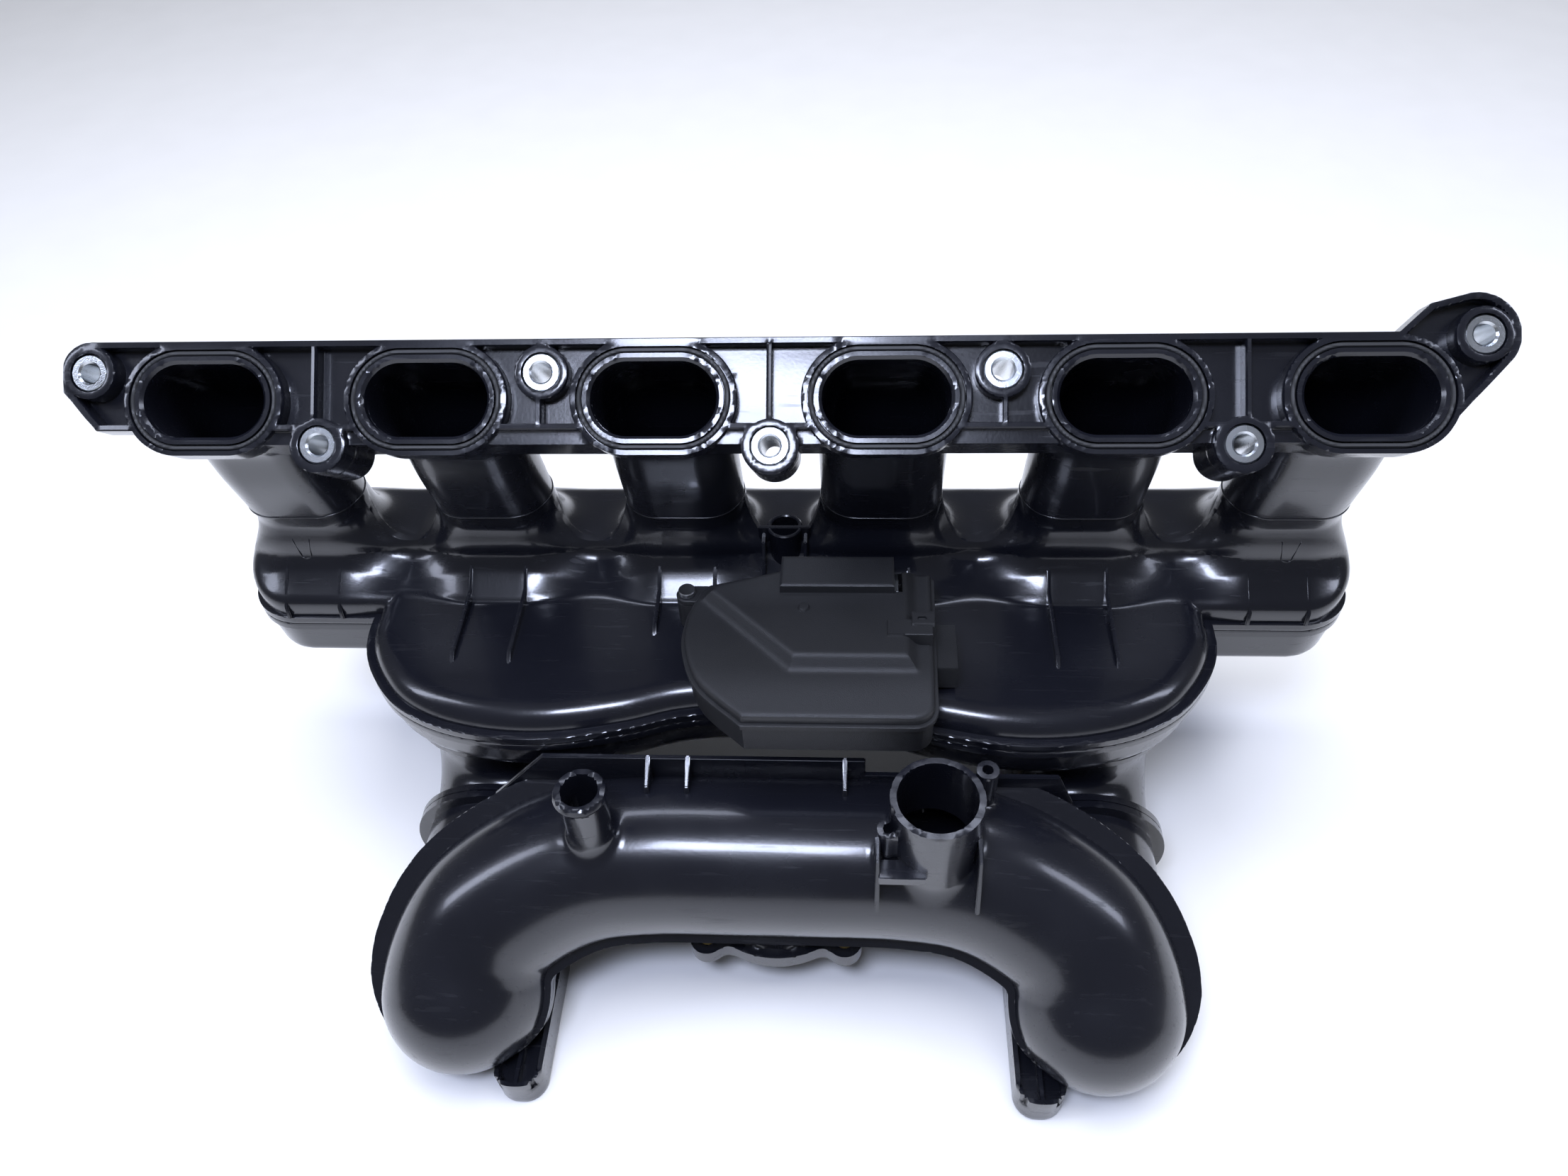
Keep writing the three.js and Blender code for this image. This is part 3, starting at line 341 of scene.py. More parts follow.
LOBE_HALF = [
    (222, 26), (221, -16), (204, -46), (181, -63), (150, -72), (115, -73.5), (78, -67), (46, -58), (0, -55),
]
lobe_front = spline([(-x, y) for x, y in LOBE_HALF] + [(x, y) for x, y in LOBE_HALF[-2::-1]], 12)
lobe_points = np.vstack([lobe_front, [(222, 67), (-222, 67)]])
lobe_plan = Plan(lobe_points, (-320, -100), (320, 120))

TUBE_HALF = [(161, -72), (159, -54), (147, -33), (122, -15), (95, -4.5), (62, -0.5), (25, 0)]
tube_left = [(-x, TUBE_UP + u) for x, u in TUBE_HALF]
tube_right = [(x, TUBE_UP + u) for x, u in TUBE_HALF[::-1]]
tube_line = spline(tube_left + tube_right, 12)
tube_plan = Plan(tube_line, (-240, -350), (240, -120), closed=False)


def runner(p, radius):
    side = np.maximum(np.abs(across_port(p[:, 0])) - PORT_HALF_STRAIGHT, 0)
    return np.hypot(side, runner_plan(p[:, 1], p[:, 2])) - radius


def body_plan(x, y, grow=0.0):
    half, front, rear, corner = BODY["half"], BODY["front"], BODY["rear"], BODY["corner"]
    a = np.abs(x) - half + corner
    b = np.abs(y - (front + rear) / 2) - (rear - front) / 2 + corner
    return np.minimum(np.maximum(a, b), 0) + np.hypot(np.maximum(a, 0), np.maximum(b, 0)) - corner - grow


print("runner line", len(runner_line), "points; lobe edge", len(lobe_front))

# %% [markdown]
# ## Plenum cover
# A long body with a rolled edge, two lobes in front, a slope down to them and six runner roots. Each
# root goes straight down into the body. A curved ledge spans each gap between two runners.


# %%
def ledge(p):
    gap = np.abs(between_ports(p[:, 0]))
    top = -124 + 27 * np.clip(gap / 21, 0, 1.3) ** 3
    sheet = np.abs(p[:, 1] - 37 - 0.25 * (p[:, 2] + 125)) - 1.6
    return np.maximum(np.maximum(sheet, (p[:, 2] - top) * 0.6), np.abs(p[:, 0]) - 259)


def over_slope(y, z):
    """Distance over the plane that falls from the runners' wall (y 34, z -132) to the lobes' level."""
    return -0.351 * (y - 34) + 0.936 * (z + 132)


def straight_foot(p, radius):
    return runner(np.stack([p[:, 0], p[:, 1], np.maximum(p[:, 2], FOOT_TOP)], 1), radius)


def cover_outside(p):
    x, y, z = p.T
    body = rolled(body_plan(x, y), z - BODY["top"], BODY["roll"])
    above_slope = np.maximum(-over_slope(y, z), y - 36)
    body = soft_cut(body, above_slope, 5)
    roots = np.maximum(straight_foot(p, PORT_RADIUS + WALL), z - SEAM_Z - 6)
    root = soft_join(body, roots, 30)
    root = soft_join(root, ledge(p), 5)
    lobes = rolled(lobe_plan(x, y), z - LOBE_TOP, 13)
    return soft_join(root, lobes, 1.2)


def cover_inside(p):
    x, y, z = p.T
    body = rolled(body_plan(x, y, -HIDDEN_WALL), z - BODY["top"] + HIDDEN_WALL, BODY["roll"] - HIDDEN_WALL)
    body = np.maximum(body, np.minimum(over_slope(y, z), 38 - y) + HIDDEN_WALL)
    lobes = rolled(lobe_plan(x, y) + HIDDEN_WALL, z - LOBE_TOP + HIDDEN_WALL, 9)
    return np.minimum(np.minimum(body, lobes), straight_foot(p, PORT_RADIUS + WALL - HIDDEN_WALL))


def cover(p):
    z = p[:, 2]
    shaft = np.hypot(p[:, 0] - FLAP_SHAFT[0], p[:, 1] - FLAP_SHAFT[1]) - 6.1
    shell = np.maximum(cover_outside(p), -cover_inside(p))
    return np.maximum(np.maximum(shell, -shaft), np.maximum(LIP_Z + 0.15 - z, z - SEAM_Z + 0.15))


upper = skin("plenum_cover", cover, (-304, -84, -160), (304, 98, -92), 2.0)
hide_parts("plenum_upper_shell")


def lip(p, low, high):
    x, y, z = p.T
    plan = np.minimum(body_plan(x, y, 4), lobe_plan(x, y) - 4)
    inner = np.minimum(body_plan(x, y, -9), lobe_plan(x, y) + 9)
    slab = np.abs(z - (low + high) / 2) - (high - low) / 2
    return np.maximum(rolled(plan, slab, 0.9), -inner)


lip_box = ((-305, -82, -164), (305, 99, -148))
upper_lip = skin("plenum_cover_lip", lambda p: lip(p, LIP_Z + 0.15, LIP_Z + 5), *lip_box, (1.6, 1.6, 0.8))
lower_lip = skin("tray_lip", lambda p: lip(p, LIP_Z - 5, LIP_Z - 0.15), *lip_box, (1.6, 1.6, 0.8))


def tray(p):
    x, y, z = p.T
    draft = TRAY_INSET + 0.12 * np.maximum(LIP_Z - 5 - z, 0)
    body, lobes = body_plan(x, y) + draft, lobe_plan(x, y) + draft
    out = np.minimum(rolled(body, TRAY_FLOOR - z, 4), rolled(lobes, TRAY_FLOOR - z, 10))
    inn = np.minimum(
        rolled(body + HIDDEN_WALL, TRAY_FLOOR + HIDDEN_WALL - z, 3),
        rolled(lobes + HIDDEN_WALL, TRAY_FLOOR + HIDDEN_WALL - z, 8),
    )
    holes = np.hypot(np.abs(x) - ELBOW_X, y + 17) - 37.5
    return np.maximum(np.maximum(np.maximum(out, -inn), z - LIP_Z + 0.15), -holes)


lower = skin("plenum_tray", tray, (-304, -84, -188), (304, 98, -152), 2.4)
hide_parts("plenum_lower_shell")

# %% [markdown]
# ## Head flange and runner bends

# %%
RAISED_EAR = arc(302.2, 25.5, 18, -36, 99, 14)
flange_points = np.vstack(
    [
        arc(-312, 14, 13, 90, 180, 8),
        [(-325, 4), (-309, -14), (290, -14)],
        RAISED_EAR,
        [(283, 39), (270, 27)],
    ]
)
flange_plan = Plan(flange_points, (-335, -45), (330, 60), 0.5)


def bolt_distance(x, up):
    return np.min([np.hypot(x - bx, up - bu) for bx, bu in BOLTS], axis=0)


def flange(q):
    x, up, out = q.T
    edge = port_edge(x, up)
    bolt = bolt_distance(x, up)
    plan = soft_join(np.minimum(flange_plan(x, up), edge - 8.6), bolt - BOSS_RADIUS, 2.5)
    plate = rolled(plan, np.abs(out + 6) - 6, 0.7)
    boss = rolled(bolt - BOSS_RADIUS, np.abs(out + 17) - 17, 0.7)
    solid = soft_join(plate, boss, 2.0)
    rail = np.max([np.abs(up + 16.6) - 3.4, np.abs(out + 19.5) - 15.5, np.abs(x) - 262], axis=0)
    solid = soft_join(solid, rail, 1.0)
    gap = np.abs(between_ports(x))
    rib = np.where(np.abs(x) > 300, 9.0, gap - 1.25)
    pocket = np.max([flange_plan(x, up) + 3, 9.2 - edge, BOSS_RADIUS - bolt, -rib, -out - 8], axis=0)
    solid = soft_cut(solid, pocket, 1.6)
    groove = np.maximum(np.abs(edge - SEAL_MIDDLE) - 1.5, -out - 3.4)
    bevel = 0.7 * (out - edge) + 1.0
    solid = np.maximum(np.maximum(solid, -groove), bevel)
    ends = np.maximum(-325.0 - x, x - 319.9)
    return np.max([solid, -edge, 8.95 - bolt, ends], axis=0)


plate = skin("flange_plate", flange, (-327, -37, -36), (322, 47, 2), 1.3, from_flange, 28)
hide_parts("head_flange")


def bends(p):
    q = to_flange(p)
    shell = np.maximum(runner(p, PORT_RADIUS + WALL), -runner(p, PORT_RADIUS))
    return np.maximum(np.maximum(shell, SEAM_Z + 0.15 - p[:, 2]), q[:, 2] + 5)


bend = skin("runner_bends", bends, (-295, -30, -97), (295, 80, 22), 1.76)


def ring_tubes(name, loops, radius, sides=8):
    """Thin round beads along closed loops of points, as one mesh."""
    verts, faces, base = [], [], 0
    a = np.linspace(0, 2 * math.pi, sides, endpoint=False)
    for loop in loops:
        loop = np.asarray(loop, float)
        tangent = np.roll(loop, -1, 0) - np.roll(loop, 1, 0)
        tangent /= np.linalg.norm(tangent, axis=1, keepdims=True)
        side = np.cross(tangent, (0, 0, 1.0))
        side /= np.linalg.norm(side, axis=1, keepdims=True)
        up = np.cross(side, tangent)
        outward = np.cos(a)[:, None] * side[:, None] + np.sin(a)[:, None] * up[:, None]
        ring = loop[:, None] + radius * outward
        verts.append(ring.reshape(-1, 3))
        n = len(loop)
        i, j = np.meshgrid(np.arange(n), np.arange(sides), indexing="ij")
        i2, j2 = (i + 1) % n, (j + 1) % sides
        quads = np.stack([i * sides + j, i2 * sides + j, i2 * sides + j2, i * sides + j2], -1)
        faces.append(quads.reshape(-1, 4) + base)
        base += n * sides
    return add_mesh(name, np.vstack(verts), np.vstack(faces), 60)


def seam_loop(port):
    """Where the runner's outer wall crosses the weld."""
    middle = runner_line[np.argmin(np.abs(runner_line[:, 1] - SEAM_Z))][0]
    a = np.linspace(0, 2 * math.pi, 96, endpoint=False)
    near, far = np.zeros(96), np.full(96, 60.0)
    for _ in range(20):
        half = (near + far) / 2
        points = np.stack([port + half * np.cos(a), middle + half * np.sin(a), np.full(96, SEAM_Z)], 1)
        inside = runner(points, PORT_RADIUS + WALL) < 0
        near, far = np.where(inside, half, near), np.where(inside, far, half)
    return points


def dropped_circle(cx, cy, radius):
    """A circle let down onto the plenum cover."""
    a = np.linspace(0, 2 * math.pi, 40, endpoint=False)
    low, high = np.full(40, -150.0), np.full(40, -112.0)
    for _ in range(20):
        half = (low + high) / 2
        points = np.stack([cx + radius * np.cos(a), cy + radius * np.sin(a), half], 1)
        inside = cover_outside(points) < 0
        low, high = np.where(inside, half, low), np.where(inside, high, half)
    return points


seams = ring_tubes("runner_seams", [seam_loop(port) for port in PORTS], 0.5)
circles = ring_tubes("ejector_circles", [dropped_circle(x, 28, 5.9) for x in (-262, 262)], 0.35)


# %% [markdown]
# ## Crossover tube
# A round tube that bends in one plane parallel to the flange. Its two halves meet in a flat rim. A
# spout and a socket stand on the upper half, the throttle flange and two feet are on the lower half.


# %%
def tube(p, radius):
    q = to_flange(p)
    bend_part = np.hypot(tube_plan(q[:, 0], q[:, 1]), q[:, 2] - TUBE_DEPTH) - radius
    along = np.clip(p[:, 1], ARM_Y, COLLAR_Y + 20)
    away = np.abs(p[:, 0]) - ELBOW_X
    tail = np.sqrt(away**2 + (p[:, 1] - along) ** 2 + (p[:, 2] - ARM_Z) ** 2) - radius
    return soft_join(bend_part, tail, 6)


def rim(p):
    q = to_flange(p)
    width = np.interp(q[:, 1], [-328, -282], [0.5, 9.5])
    band = tube_plan(q[:, 0], q[:, 1]) - TUBE_RADIUS - width
    flat = rolled(band, np.abs(q[:, 2] - TUBE_DEPTH) - 4.6, 0.8)
    within = np.maximum(np.abs(q[:, 0]) - ELBOW_X, q[:, 1] - TUBE_UP)
    inner = np.maximum(within, TUBE_RADIUS + 4.5 - tube_plan(q[:, 0], q[:, 1]))
    return np.max([flat, -inner, p[:, 1] + 79], axis=0)


def spout(p):
    r = np.hypot(p[:, 0] - SPOUT[0], p[:, 1] - SPOUT[1])
    pipe = rolled(r - 11.2, p[:, 2] - SPOUT[2], 0.8)
    bead = np.hypot(r - 10.9, (p[:, 2] - SPOUT[2] + 2.4) * 0.8) - 1.9
    return soft_join(np.maximum(pipe, -190 - p[:, 2]), bead, 1.5)


def nearest(p, spots):
    """Plan distance from the nearest of the spots."""
    return np.min([np.hypot(p[:, 0] - x, p[:, 1] - y) for x, y in spots], axis=0)


def socket(p):
    r = np.hypot(p[:, 0] - SOCKET[0], p[:, 1] - SOCKET[1])
    wall = rolled(r - 21.8, p[:, 2] - SOCKET[2], 0.8)
    ears = rolled(nearest(p, SOCKET_EARS) - 5.4, p[:, 2] - SOCKET[2] + 14, 0.6)
    both = soft_join(wall, ears, 3)
    return np.maximum(both, -193 - p[:, 2])


def crossover_top(p):
    q = to_flange(p)
    body = soft_join(np.minimum(tube(p, TUBE_RADIUS), rim(p)), spout(p), 6)
    body = soft_join(body, socket(p), 4)
    bore_a = np.hypot(p[:, 0] - SPOUT[0], p[:, 1] - SPOUT[1]) - 8.7
    bore_b = np.hypot(p[:, 0] - SOCKET[0], p[:, 1] - SOCKET[1]) - 18.6
    ear_holes = np.maximum(nearest(p, SOCKET_EARS) - 2.6, -159 - p[:, 2])
    hollow = tube(p, TUBE_RADIUS - HIDDEN_WALL + 0.6)
    body = np.max([body, -bore_a, -bore_b, -ear_holes, -hollow], axis=0)
    return np.max([body, TUBE_DEPTH + 0.15 - q[:, 2], p[:, 1] - COLLAR_Y, BENCH_Z - p[:, 2]], axis=0)


top_half = skin("crossover_upper", crossover_top, (-216, -206, -302), (216, -66, -108), 1.8)
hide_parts("crossover_upper_shell")


def foot(p):
    x = np.abs(p[:, 0]) - 132
    a, b = np.abs(x) - 1.5, np.abs(p[:, 1] + 161) - 30
    outer = np.minimum(np.maximum(a, b), 0) + np.hypot(np.maximum(a, 0), np.maximum(b, 0)) - 11
    post = rolled(outer, np.abs(p[:, 2] - (BENCH_Z + 10.5)) - 10.5, 1.2)
    trough = np.maximum(outer + 2.6, -284 - p[:, 2])
    level = [p[:, 2] + 277.5, BENCH_Z + 1 - p[:, 2]]
    rib = np.max([np.abs(x) - 1.2, np.abs(p[:, 1] + 172) - 28, *level], axis=0)
    return np.minimum(soft_cut(post, trough, 1.5), rib)


def crossover_bottom(p):
    q = to_flange(p)
    x, y, z = p.T
    across, along = x - THROTTLE[0], y - THROTTLE[1]
    from_bore = np.hypot(across, along)
    from_bolt = np.hypot(np.abs(across) - THROTTLE_BOLT, np.abs(along) - THROTTLE_BOLT)
    duct = np.max([from_bore - 41, z + 215, THROTTLE_FACE - z], axis=0)
    square = rolled(soft_join(from_bore - 46.5, from_bolt - 9, 8), np.abs(z + 257) - 5, 1.0)
    r = np.hypot(np.abs(x) - ELBOW_X, z - ARM_Z)
    collar = np.maximum(rolled(r - COLLAR_RADIUS, np.abs(y - COLLAR_Y + 2) - 2, 0.6), BENCH_Z - z)
    body = soft_join(np.minimum(tube(p, TUBE_RADIUS), rim(p)), duct, 5)
    body = soft_join(np.minimum(body, collar), square, 3)
    body = np.maximum(body, q[:, 2] - TUBE_DEPTH + 0.15)
    feet = np.maximum(foot(p), -(tube(p, TUBE_RADIUS) - 0.2))
    body = np.minimum(body, feet)
    groove = np.maximum(np.abs(from_bore - 41.5) - 1.5, z + 259.4)
    mouth = np.maximum(from_bore - 37.5, z + 205)
    hollow = tube(p, TUBE_RADIUS - HIDDEN_WALL + 0.6)
    cuts = [-np.maximum(from_bolt - 4.3, z + 251), -groove, -mouth, -hollow, y - COLLAR_Y, BENCH_Z - z]
    return np.max([body, *cuts], axis=0)


low_half = skin("crossover_lower", crossover_bottom, (-216, -206, -302), (216, -44, -178), 2.0)
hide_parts("crossover_lower_shell")


def elbow(p):
    x, y, z = np.abs(p[:, 0]) - ELBOW_X, p[:, 1], p[:, 2]
    cy, cz = -65, ARM_Z + 48
    turn = np.abs(np.hypot(y - cy, z - cz) - 48)
    low = (y <= cy) | (z >= cz)
    straight = np.where(y <= cy, np.abs(z - ARM_Z), np.abs(y - cy - 48))
    r = np.hypot(x, np.where(low, straight, turn))
    collar = rolled(r - COLLAR_RADIUS, np.abs(y - COLLAR_Y - 2.3) - 2, 0.6)
    collar = np.max([collar, BENCH_Z - z, y + 60], axis=0)
    cap = rolled(np.hypot(x, y + 17) - COLLAR_RADIUS, np.abs(z + 186.3) - 2, 0.6)
    body = np.minimum(np.minimum(r - TUBE_RADIUS, collar), cap)
    return np.max([body, COLLAR_Y + 0.3 - y, z + 184.3, TUBE_RADIUS - HIDDEN_WALL - r, BENCH_Z - z], axis=0)


for side, name in ((-1, "left"), (1, "right")):
    x0, x1 = sorted((side * 110, side * 212))
    piece = skin(f"inlet_elbow_{name}_skin", elbow, (x0, -73, -302), (x1, 34, -180), 2.4)
    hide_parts(f"inlet_elbow_{name}")

# %% [markdown]
# ## Ribs and webs
# Thin moulded sheets, each a flat outline with a small rounded edge.


# %%
def sheet(name, outline, thickness, place, bevel=0.5):
    """A flat outline given a thickness. `place` turns (across, up, through) into the part's frame."""
    bm = bmesh.new()
    pts = np.asarray(outline, float)
    front = [bm.verts.new(place(a, b, -thickness / 2)) for a, b in pts]
    back = [bm.verts.new(place(a, b, thickness / 2)) for a, b in pts]
    bm.faces.new(front)
    bm.faces.new(back[::-1])
    n = len(pts)
    for i in range(n):
        bm.faces.new((front[i], back[i], back[(i + 1) % n], front[(i + 1) % n]))
    bmesh.ops.recalc_face_normals(bm, faces=bm.faces)
    bmesh.ops.bevel(bm, geom=list(bm.edges), offset=bevel, segments=2, affect="EDGES", clamp_overlap=True)
    bmesh.ops.scale(bm, vec=(0.001,) * 3, verts=bm.verts)
    mesh = bpy.data.meshes.new(name)
    bm.to_mesh(mesh)
    bm.free()
    mesh.shade_smooth()
    mesh.set_sharp_from_angle(angle=math.radians(40))
    obj = bpy.data.objects.new(name, mesh)
    bpy.context.scene.collection.objects.link(obj)
    return obj


def along_x(at):
    return lambda a, b, c: (at + c, a, b)


def along_y(at):
    return lambda a, b, c: (a, at + c, b)


def sheet_row(name, outline, thickness, spots):
    """The same upright sheet at each of the given x positions."""
    return [sheet(f"{name}_{i}", outline, thickness, along_x(x)) for i, x in enumerate(spots)]


ribs = []
for k, port in enumerate(PORTS):
    outer = abs(port) > 200
    middle = abs(port) < 60
    for side in (-15, 15):
        reach = -18 if middle else -38
        outline = [(28, -122), (10, -136), (reach + 6, -137.4), (reach, -141.4), (reach, -144), (31, -144)]
        if outer:
            outline = [(28, -123), (9, -137.2), (2.8, -143.5), (1.0, -151.2), (8, -152), (31, -146)]
        letter = "a" if side < 0 else "b"
        ribs.append(sheet(f"cover_rib_{k + 1}_{letter}", outline, 2.2, along_x(port + side)))
web_outline = [(-150, -196), (-118, -160), (44, -160), (44, -172), (140, -172), (150, -196)]
web = sheet("crossover_web", web_outline, 2.6, along_y(-80.6))
gusset_side = [(-81, -158), (-81, -185), (-98, -172), (-95, -165)]
gussets = sheet_row("crossover_gusset", gusset_side, 2.2, (-64, -44, 34))
frame_side = [(-128, -152), (-128, -190), (-147, -190), (-138, -158)]
gussets += sheet_row("socket_frame", frame_side, 2.2, (49.5, 96.5))
gussets.append(sheet("socket_ledge", [(50, -172), (50, -166), (72, -166), (72, -172)], 10, along_y(-137)))
bar = [(-13.5, -127), (-13.5, -112.4), (14.5, -112.4), (14.5, -127)]
gussets.append(sheet("cup_bar", bar, 2.2, along_y(35.8)))
cup_side = [(38, -116), (28, -117), (24, -126), (15, -137), (38, -138)]
gussets += sheet_row("cup_side", cup_side, 1.8, (-10.6, 11.8))
post_side = [(-66, -158), (-66, -141), (-77, -141), (-77, -158)]
gussets += sheet_row("box_post_side", post_side, 1.8, (60.0, 71.5))
legs = []
for side in (-1, 1):
    x = side * ELBOW_X
    tag = "left" if side < 0 else "right"
    back = [(x - 26, BENCH_Z), (x - 26, -180), (x + 26, -180), (x + 26, BENCH_Z)]
    legs.append(sheet(f"leg_back_{tag}", back, 4, along_y(64)))
    for edge in (-24.5, 24.5):
        profile = [(34, BENCH_Z), (34, -180), (66, -180), (66, BENCH_Z)]
        legs.append(sheet(f"leg_side_{tag}_{'a' if edge < 0 else 'b'}", profile, 3, along_x(x + edge)))
    for i, z in enumerate((BENCH_Z + 1.5, -260.5, -224.5)):
        flat = [(x - 32, 34), (x + 32, 34), (x + 32, 66), (x - 32, 66)]
        legs.append(sheet(f"leg_shelf_{tag}_{i + 1}", flat, 3, lambda a, b, c, z=z: (a, b, z + c)))
print("ribs", len(ribs), "gussets", len(gussets), "leg sheets", len(legs))

# %% [markdown]
# ## Actuator box
# A low base and a moulded cover: a raised deck with a ramp on its left and a step at its front, a
# flat-topped hump over the motor at the rear, and one screw ear at the left.

# %%
box_points = np.vstack([
    [(-14, -89), (64, -89)], arc(66, -79, 10, -80, 0, 6), [(77, 3), (2, 5), (-36, -5)],
    spline([(-36, -5), (-41, -12), (-45, -26), (-45, -45), (-36, -68), (-14, -89)], 8)[1:-1],
])
box_plan = Plan(box_points, (-70, -105), (105, 25), 0.4)
deck_points = [(-34, -9), (-37, -16), (8, -60), (67, -60), (67, 1), (2, 2)]
deck_plan = Plan(deck_points, (-70, -105), (105, 25), 0.4)
EAR = (-48, -7)


def ear_plan(x, y):
    return np.hypot(x - EAR[0] - np.clip(x - EAR[0], 0, 14), y - EAR[1]) - 5.6


def ear_hole(x, y):
    return np.hypot(x - EAR[0], y - EAR[1]) - 2.5


def box_cover(p):
    x, y, z = p.T
    low = rolled(box_plan(x, y), z + 114.5, 2.5)
    lean = 0.8 * np.maximum(z + 116, 0)
    deck = rolled(deck_plan(x, y) - 3 + lean, z + 108.0, 1.4)
    hump = rolled(np.maximum(np.abs(x - 29.5) - 28.5, np.abs(y + 6.5) - 10.5), z + 102.6, 1.6)
    tab = rolled(np.maximum(np.abs(x - 71.5) - 5.5, np.abs(y + 35) - 4.2), z + 105.8, 0.4)
    slot = np.maximum(np.hypot(np.maximum(np.abs(x - 71) - 1, 0), y + 35.5) - 1.3, -z - 107.2)
    pad = rolled(np.maximum(np.abs(x - 65) - 11, np.abs(y + 40) - 5), z + 106.8, 0.5)
    pin = rolled(np.hypot(x - WHEEL_PIN[0], y - WHEEL_PIN[1]) - 2.6, z + 106.6, 0.8)
    flat = rolled(box_plan(x, y) - 1.9, np.abs(z + 121.3) - 1.5, 0.5)
    ear = rolled(ear_plan(x, y), np.abs(z + 121.3) - 1.5, 0.5)
    body = soft_join(soft_join(low, deck, 2.0), hump, 1.2)
    body = np.max([np.min([body, pad, pin, tab], axis=0), -slot], axis=0)
    body = np.minimum(np.minimum(body, flat), ear)
    room = rolled(box_plan(x, y) + 2.2, z + 116.7, 1)
    room = np.minimum(room, rolled(deck_plan(x, y) - 0.6 + lean, z + 110.2, 1))
    room = np.minimum(room, np.maximum(np.hypot(y + 9, z + 119) - 12.6, np.abs(x - 32) - 30))
    return np.max([body, -room, -ear_hole(x, y), -122.85 - z], axis=0)


cover_skin = skin("actuator_cover_skin", box_cover, (-56, -93, -125), (92, 9, -102), 1.0, None, 26)
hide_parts("actuator_cover")


def box_base(p):
    x, y, z = p.T
    wall = rolled(box_plan(x, y), np.abs(z + 131.95) - 8.75, 0.8)
    ear = rolled(ear_plan(x, y), np.abs(z + 131.95) - 8.75, 0.6)
    room = np.maximum(box_plan(x, y) + 2.2, -138.5 - z)
    shaft = np.hypot(x - FLAP_SHAFT[0], y - FLAP_SHAFT[1]) - 6.3
    from_pin = np.hypot(x - WHEEL_PIN[0], y - WHEEL_PIN[1])
    post = np.max([from_pin - 3.4, z + 135.7, -140 - z], axis=0)
    pin = np.maximum(from_pin - 1.8, -139.5 - z)
    plug = rolled(np.maximum(np.abs(x - 81) - 7.6, np.abs(y + 38) - 14), np.abs(z + 131) - 7.7, 0.6)
    hole = np.maximum(np.maximum(np.abs(x - 86) - 6, np.abs(y + 38) - 11), np.abs(z + 131) - 5.6)
    body = np.maximum(np.minimum(wall, ear), -room)
    body = np.minimum(body, post)
    body = np.minimum(body, np.maximum(plug, 75 - x))
    return np.max([body, -hole, -ear_hole(x, y), -shaft, -pin], axis=0)


base_skin = skin("actuator_base_skin", box_base, (-57, -93, -143), (92, 9, -120), 1.2, None, 26)
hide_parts("actuator_base")

# %% [markdown]
# ## Finishes
# Moulded nylon with faint flow marks and scuffs, grained charcoal plastic, zinc plate, steel, brass,
# rubber and natural acetal. Every finish reads the piece's own coordinates.


